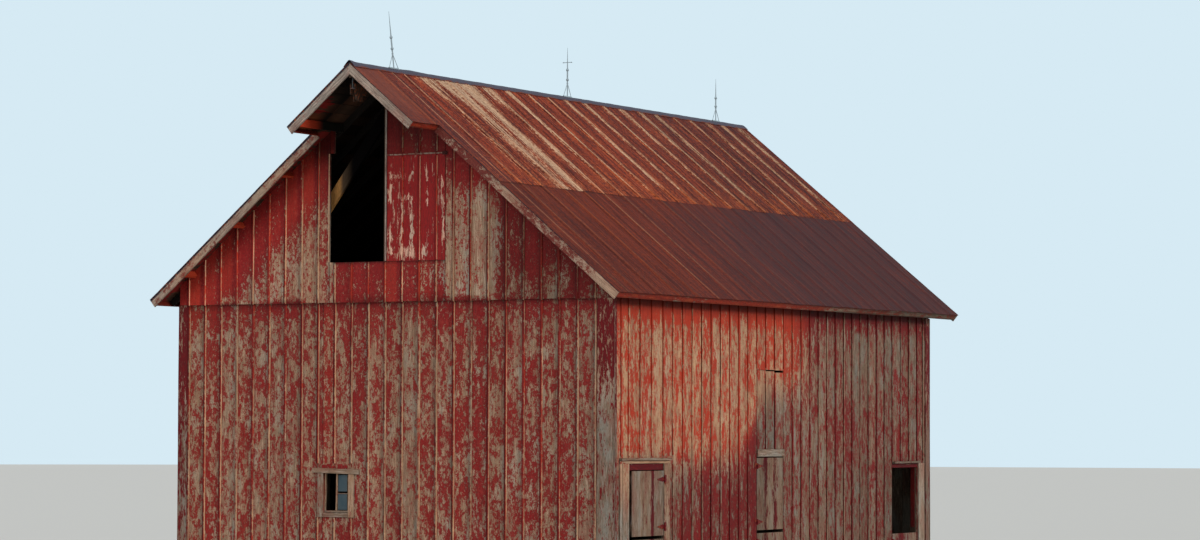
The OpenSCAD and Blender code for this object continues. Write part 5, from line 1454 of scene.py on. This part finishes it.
def upper_look(s, down, far, phase, luck):
    """Upper course: zinc bands beside the joints, widest 1.6 m from the front, fresh rust lower down."""
    wide = np.exp(-((s - 1.6) / 1.3) ** 2)
    band = np.exp(-(far / (0.07 + 0.2 * wide + 0.05 * luck[3])) ** 2)
    edge = 0.5 + 0.5 * phase * np.sign(luck[5])
    zinc = band * (0.46 + 0.14 * wide + 0.16 * luck[4] + 0.12 * edge) * smooth(0.3, 0.7, s)
    zinc = zinc * (1 - smooth(0.75, 0.97, down) * (0.5 - 0.4 * wide))
    zinc = zinc + (0.1 + 0.25 * wide) * smooth(0.3, 0.0, down) + 0.1 * smooth(4.5, 8.0, s)
    fresh = 0.2 + 0.16 * smooth(0.6, 1.0, down) + 0.2 * np.exp(-(far / 0.13) ** 2)
    fresh = fresh - 0.12 * smooth(0.8, 0.2, s)
    cold = 0.3 * smooth(4.0, 9.0, s) * (1 - 0.5 * down) + 0.35 * smooth(0.5, -0.4, s)
    rib = 0.9 * (0.8 + 0.2 * luck[4])
    pale = 0.55 + 0.35 * wide + 0.2 * luck[5] - 0.4 * smooth(0.75, 1.0, down)
    return zinc, fresh, cold, rib, pale, 0.0, 0.0, 0.5 + 0.06 * luck[1] - 0.24 * smooth(4.5, 8.5, s)


def lower_look(s, down, past, luck):
    """Lower course: even dark rust without zinc, colder to the rear; its orange crimps fade down the slope.

    past is 1 above the upper course's edge and 0 a little below it, where that edge's painted shadow ends."""
    fresh = 0.14 * smooth(6.0, 0.0, s) + 0.12 * luck[3] * (s > 5)
    cold = 0.03 + 0.8 * smooth(2.0, 8.0, s + 1.2 * down - 1.2 * smooth(0.3, 0.0, down))
    rib = 0.95 * smooth(8.0, 2.0, s) * (0.65 + 0.35 * luck[4])
    rib = rib * (1 - 0.6 * smooth(0.4, 1.0, down + 0.2 * luck[2]))
    # Darker just under the upper course's edge, a painted shadow that fades to the rear
    tone = 0.24 + 0.02 * smooth(7.0, 3.0, s) - 0.3 * past * smooth(6.0, 2.0, s) + 0.03 * luck[1]
    return 0.0, fresh, cold, rib, 0.3 + 0.35 * luck[5], 0.68, 0.0, tone


def sheet_course(side, y0, y1, u0, u1, level, kind, seed):
    """Points and attributes of one course: out = level + crimp + low waves, down the slope from u0 to u1.

    The looks are zinc, fresh rust and cold dark rust, then rib: how bright a crimp is, how pale and how quiet
    the runs are, then shade: haze, tone and the distance to the nearest crimp."""
    roof = bpy.context.scene.barn_roof
    y, h, far, mid = crimp_line(y0, y1)
    if side < 0:
        y, h, far, mid = y[::-1], h[::-1], far[::-1], mid[::-1]
    h = h * (1 - 0.7 * mid) * (0.5 if kind == LOWER else 1.0)
    u = np.linspace(u0, u1, int((u1 - u0) / 0.11) + 2)
    if kind == LOWER:
        u = np.sort(np.append(u, [roof.upper - 0.01, roof.upper + 0.02, roof.upper + 0.05]))
    u = u[:, None]
    number = np.floor((y - y0) / roof.cover).astype(int)
    luck = np.random.default_rng(seed).uniform(-1.0, 1.0, (6, number.max() + 2))[:, number]
    swing = 0.006 if kind == LOWER else 0.012
    short = 0.0 if kind == UPPER else 0.006
    uneven = swing * luck[0] + 0.5 * swing * np.sin(9.0 * y)
    u = u + smooth(u1 - 0.3, u1, u) * uneven[None, :] - short * (u > u1 - 0.05)
    wave = 0.0022 * np.sin(2 * np.pi * (u * 0.9 + luck[1]))
    wave = wave * (0.4 + 0.6 * np.abs(np.sin(2 * np.pi * y / roof.cover)))
    curl = 0.004 * np.maximum(0.0, luck[2]) * smooth(u1 - 0.25, u1, u)
    out = level + 0.0025 + roof.crimp * 0.9 * h[None, :] + np.abs(wave) * 0.6 + curl
    yy = y[None, :] + 0 * u
    top, under = (np.stack([side * (u * COS + o * SIN), yy, DECK - u * SIN + o * COS], -1)
                  for o in (out, out - roof.sheet_t))
    s = yy - FRONT_Y
    down = (u - u0) / (u1 - u0)
    far = far[None, :]
    phase = np.sin(2 * np.pi * (yy - y0) / roof.cover)
    if kind == UPPER:
        looks = upper_look(s, down, far, phase, luck)
    elif kind == LOWER:
        looks = lower_look(s, down, smooth(roof.upper + 0.04, roof.upper, u), luck)
    else:
        haze = 0.35 - 0.25 * smooth(0.5, 1.0, down)
        looks = (0.05 * np.exp(-(far / 0.07) ** 2), 0.15, 0.35, 0.35, 0.1, 0.7, haze, 0.45)
    crimp = np.abs(far * np.sign(phase + 1e-9) - roof.pair / 2)
    if kind != HOOD:
        crimp = np.minimum(crimp, np.abs(yy - y0 - roof.cover / 2))
    rows = [np.clip(value, 0.0, 1.0) + 0.0 * yy for value in (*looks, crimp)]
    sheet = [yy + 0.37 * number[None, :], u + 5.0 * luck[0][None, :], 3.0 * number[None, :] + 0 * yy]
    layers = {"sheet": sheet, "look": rows[:3], "rib": rows[3:6], "shade": rows[6:]}
    return top, under, {key: [np.stack(row, -1).reshape(-1, 3)] * 2 for key, row in layers.items()}


class BARN_OT_roof_sheets(BarnOperator):
    """Crimped roof sheets in two courses on each slope, and those of the hood"""

    bl_idname = "barn.roof_sheets"
    bl_label = "Roof Sheets"

    def execute(self, context):
        roof = context.scene.barn_roof
        metal = rusted_sheets()
        y0, y1 = RAKE_Y - 0.012, TAIL_Y + 0.011
        rows = (("upper", y0, y1, 0.03, roof.upper, 0.0022, UPPER, 161),
                ("lower", y0, y1, roof.upper - roof.lap, SLOPE_LEN + 0.010, 0.0, LOWER, 165),
                ("hood", HOOD_Y - 0.011, y0 - TIGHT, 0.03, HOOD_LEN + 0.011, 0.0, HOOD, 169))
        for side, label in ((1, "right"), (-1, "left")):
            for course, *spans, seed in rows:
                name = "roof_" + course + "_" + label
                top, under, layers = sheet_course(side, *spans, seed + side)
                mesh = plate(name, top, under, 50)
                carry(mesh, layers)
                nodes = ("roof_sheets",) if name == "roof_upper_right" else ()
                settle(name, mesh, metal, nodes=nodes, slot="roof_metal")
        return {"FINISHED"}


# The ridge cap: its width on each slope, half the width of its rounded top, the length of one piece, its
# thickness, its height over the roof boards, and its points across as parts of the width
CAP_W, CAP_ROLL, CAP_PIECE, CAP_T = 0.12, 0.0215, 2.44, 0.0015
CAP_LEVEL = 0.0022 + 0.012 + 0.0035
CAP_PARTS = np.array([-1.0, -0.97, -0.9, -0.5, -0.14, -0.07, 0.0, 0.07, 0.14, 0.5, 0.9, 0.97, 1.0])


class BARN_OT_ridge_cap(BarnOperator):
    """Folded cap along the ridge with hemmed edges, laps, and the hump behind the first rod"""

    bl_idname = "barn.ridge_cap"
    bl_label = "Ridge Cap"

    def execute(self, context):
        low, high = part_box("ridge_cap")
        long = high.y - low.y
        y = low.y + long * np.linspace(0.0, 1.0, int(long / 0.08))[:, None]
        w = CAP_PARTS[None, :] * CAP_W
        wide = np.abs(w)
        s = y - FRONT_Y
        lap = 0.0012 * np.floor((y - low.y) / CAP_PIECE)
        hump = 0.012 * np.exp(-((s - 0.55) / 0.22) ** 2) + 0.022 * np.exp(-((s + 1.1) / 0.1) ** 2)
        waves = 0.0018 * np.sin(5.3 * y) + 0.0012 * np.sin(13.0 * y + 1.0)
        bend = smooth(0.0, 0.02, CAP_W - wide) * 0.004 - 0.004
        out = CAP_LEVEL + bend + np.minimum(0.0016, lap * 0.2) + np.abs(waves) * smooth(CAP_W, 0.03, wide)
        roll = np.where(wide < CAP_ROLL, (CAP_ROLL - wide) * -0.35, 0.0)
        x = w * COS + np.sign(w) * out * SIN
        z = DECK - wide * SIN + out * COS + roll + hump * smooth(CAP_W, 0.0, wide)
        z = z + np.where(wide < 1e-6, out * (1 / COS - COS), 0.0)
        top = np.stack([x + 0 * y, y + 0 * w, z], -1)[:, ::-1]
        mesh = plate("ridge_cap_metal", top, top - np.array([0, 0, CAP_T]), 40)
        settle("ridge_cap_metal", mesh, cap_metal(), nodes=("ridge_cap",), slot="roof_metal")
        return {"FINISHED"}


def cover(material, *nodes):
    """Gives CAD nodes that stay a material."""
    for node in nodes:
        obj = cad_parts[node]
        if not obj.data.materials:
            obj.data.materials.append(material)
        for i in range(len(obj.data.materials)):
            obj.data.materials[i] = material
        for slot in obj.material_slots:
            slot.material = material


# Timbers of the frame: material, how fast its grain changes sideways, rearwards and upwards, the width of its
# boards where it has seams, and its nodes
TIMBERS = (
    ("upright_timber", (70.0, 70.0, 3.5), 0.0, ("posts", "wall_studs", "window_frame")),
    ("cross_timber", (3.5, 70.0, 70.0), 0.0, ("tie_beams", "loft_joists")),
    ("long_timber", (70.0, 3.5, 70.0), 0.0, ("wall_plates", "loft_girders", "ridge_board", "sills", "girts")),
    ("loft_boards", (70.0, 3.5, 70.0), 0.2, ("loft_floor",)),
)


class BARN_OT_timbers(BarnOperator):
    """Materials of the frame's timbers, the foundation and the nodes that the pieces stand for"""

    bl_idname = "barn.timbers"
    bl_label = "Timbers and Stone"

    def execute(self, context):
        c = context.scene.barn_colours
        for name, stretch, boards, nodes in TIMBERS:
            cover(rough_timber(name, stretch, c.timber, c.timber_dark, boards), *nodes)
        cover(slope_timber(), "rafters")
        cover(prop_timber(), "braces")
        cover(lookout_timber(), "lookouts")
        cover(deck_boards(), "roof_boards")
        cover(field_stone(), "foundation")
        cover(paint("barn_paint"), "front_wall", "front_gable", "rear_wall", "rear_gable", "left_wall",
              "right_wall", "right_wall_over_doors", "hay_door", "mow_door", *[leaf[1] for leaf in LEAVES])
        cover(paint("rake_paint"), "rake_boards")
        cover(paint("eave_paint"), "eave_boards")
        cover(paint("stall_paint"), "window_sash", "trim_boards")
        cover(bpy.data.materials["rusted_sheets"], "roof_sheets")
        cover(bpy.data.materials["cap_metal"], "ridge_cap")
        cover(old_pane(), "window_glass")
        return {"FINISHED"}


class BARN_OT_iron(BarnOperator):
    """Hinge straps and plates, hay track, hay carrier and lightning rods"""

    bl_idname = "barn.iron"
    bl_label = "Ironwork"

    def execute(self, context):
        c = context.scene.barn_colours
        straps = old_iron("strap_iron", 0.3, c.deep)
        cover(straps, "front_upper_straps", "front_lower_straps", "middle_upper_straps",
              "middle_lower_straps", "rear_lower_straps", "hinge_plates")
        cover(old_iron("dark_iron", 0.35, c.iron), "hay_track")
        cover(old_iron("rod_metal", 0.08, c.rod), "lightning_rods")
        cover(old_iron("rusty_iron", 0.35, c.carrier), "hay_carrier")
        return {"FINISHED"}


# The lamps: name, the setting that holds the strength, how wide the light is in degrees, where it comes from
LAMPS = (("main_light", "sun", 12.0, (0.93, -0.15, 0.35)), ("fill_light", "fill", 60.0, (-0.15, -0.82, 0.55)))


class BARN_OT_stage(BarnOperator):
    """Floor, light and camera"""

    bl_idname = "barn.stage"
    bl_label = "Stage"

    def execute(self, context):
        scene = context.scene
        stage = scene.barn_stage
        self.lay_floor(scene, stage)
        self.light_world(scene, stage)
        for name, setting, degrees, toward in LAMPS:
            lamp = bpy.data.lights.new(name, "SUN")
            lamp.energy, lamp.angle = getattr(stage, setting), math.radians(degrees)
            obj = bpy.data.objects.new(name, lamp)
            z = np.array(toward) / np.linalg.norm(toward)
            x = np.cross(UP, z)
            x = x / np.linalg.norm(x)
            obj.matrix_world = Matrix(np.stack([x, np.cross(z, x), z], 1).tolist()).to_4x4()
            scene.collection.objects.link(obj)
        self.set_camera(scene, stage)
        scene.view_settings.view_transform = "Standard"
        return {"FINISHED"}

    def lay_floor(self, scene, stage):
        """A round plain floor just below the barn."""
        turn = np.linspace(0.0, 2 * np.pi, FLOOR_SIDES + 1)[:-1]
        ring = np.stack([FLOOR_RADIUS * np.cos(turn), FLOOR_RADIUS * np.sin(turn), 0 * turn - FLOOR_DROP], -1)
        mesh = bpy.data.meshes.new("stage_floor")
        mesh.from_pydata(ring.tolist(), [], [list(range(FLOOR_SIDES))])
        mesh.materials.append(Finish("stage_floor").surface(stage.floor, 0.95))
        floor = bpy.data.objects.new("stage_floor", mesh)
        scene.collection.objects.link(floor)

    def light_world(self, scene, stage):
        """Even light on the barn; the camera, glossy surfaces and glass see the backdrop's colour."""
        world = bpy.data.worlds.new("studio")
        scene.world = world
        world.use_nodes = True
        n = Nodes(world.node_tree)
        path = n.add("ShaderNodeLightPath").outputs
        seen = n.math("MAXIMUM", path["Is Camera Ray"], path["Is Glossy Ray"])
        seen = n.math("MAXIMUM", seen, path["Is Transmission Ray"])
        light = n.add("ShaderNodeBackground", {0: stage.tint, 1: stage.sky}).outputs[0]
        backdrop = n.add("ShaderNodeBackground", {0: stage.backdrop}).outputs[0]
        mix = n.add("ShaderNodeMixShader", {0: seen, 1: light, 2: backdrop}).outputs[0]
        n.add("ShaderNodeOutputWorld", {0: mix})

    def set_camera(self, scene, stage):
        """Axes from turn, tilt and roll: forward, right and up of the photograph's camera."""
        a, p, r = stage.turn, stage.tilt, stage.roll
        ahead = np.array([-math.sin(a) * math.cos(p), math.cos(a) * math.cos(p), math.sin(p)])
        right = np.array([math.cos(a), math.sin(a), 0.0])
        down = -np.cross(right, ahead)
        right, down = math.cos(r) * right - math.sin(r) * down, math.cos(r) * down + math.sin(r) * right
        data = bpy.data.cameras.new("photo_camera")
        data.sensor_fit = "HORIZONTAL"
        data.sensor_width = PICTURE_WIDTH
        data.lens = stage.lens
        data.clip_end = SIGHT
        camera = bpy.data.objects.new("photo_camera", data)
        turn = Matrix(np.stack([right, -down, -ahead], 1).tolist()).to_4x4()
        camera.matrix_world = Matrix.Translation(stage.eye) @ turn
        scene.collection.objects.link(camera)
        scene.camera = camera


PIECES = (
    BARN_OT_front_wall, BARN_OT_front_gable, BARN_OT_rear_walls, BARN_OT_side_walls, BARN_OT_hay_doors,
    BARN_OT_stall_doors, BARN_OT_trim, BARN_OT_window, BARN_OT_roof_edges, BARN_OT_roof_deck,
    BARN_OT_roof_sheets, BARN_OT_ridge_cap, BARN_OT_timbers, BARN_OT_iron, BARN_OT_stage,
)

GROUPS = {"barn_boards": BarnBoardSizes, "barn_roof": BarnRoofSizes, "barn_colours": BarnColours,
          "barn_stage": BarnStageSettings}


class BARN_PT_pieces(bpy.types.Panel):
    """The barn's pieces, sizes and colours"""

    bl_idname = "BARN_PT_pieces"
    bl_label = "Hay Barn"
    bl_space_type = "VIEW_3D"
    bl_region_type = "UI"
    bl_category = "Barn"

    def draw(self, context):
        """A button for each operator, then a box for each group of settings."""
        column = self.layout.column()
        for piece in PIECES:
            column.operator(piece.bl_idname)
        for key in GROUPS:
            group = getattr(context.scene, key)
            box = self.layout.box()
            for setting in group.__annotations__:
                box.prop(group, setting)


def register():
    """Registers the groups, the operators and the panel, and gives the scene its settings."""
    for key, group in GROUPS.items():
        bpy.utils.register_class(group)
        setattr(bpy.types.Scene, key, PointerProperty(type=group))
    for piece in PIECES:
        bpy.utils.register_class(piece)
    bpy.utils.register_class(BARN_PT_pieces)


def unregister():
    """Takes away what register gave."""
    bpy.utils.unregister_class(BARN_PT_pieces)
    for piece in reversed(PIECES):
        bpy.utils.unregister_class(piece)
    for key, group in GROUPS.items():
        delattr(bpy.types.Scene, key)
        bpy.utils.unregister_class(group)


def main():
    """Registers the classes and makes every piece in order."""
    register()
    for piece in PIECES:
        group, name = piece.bl_idname.split(".")
        getattr(getattr(bpy.ops, group), name)()


if __name__ == "__main__":
    main()
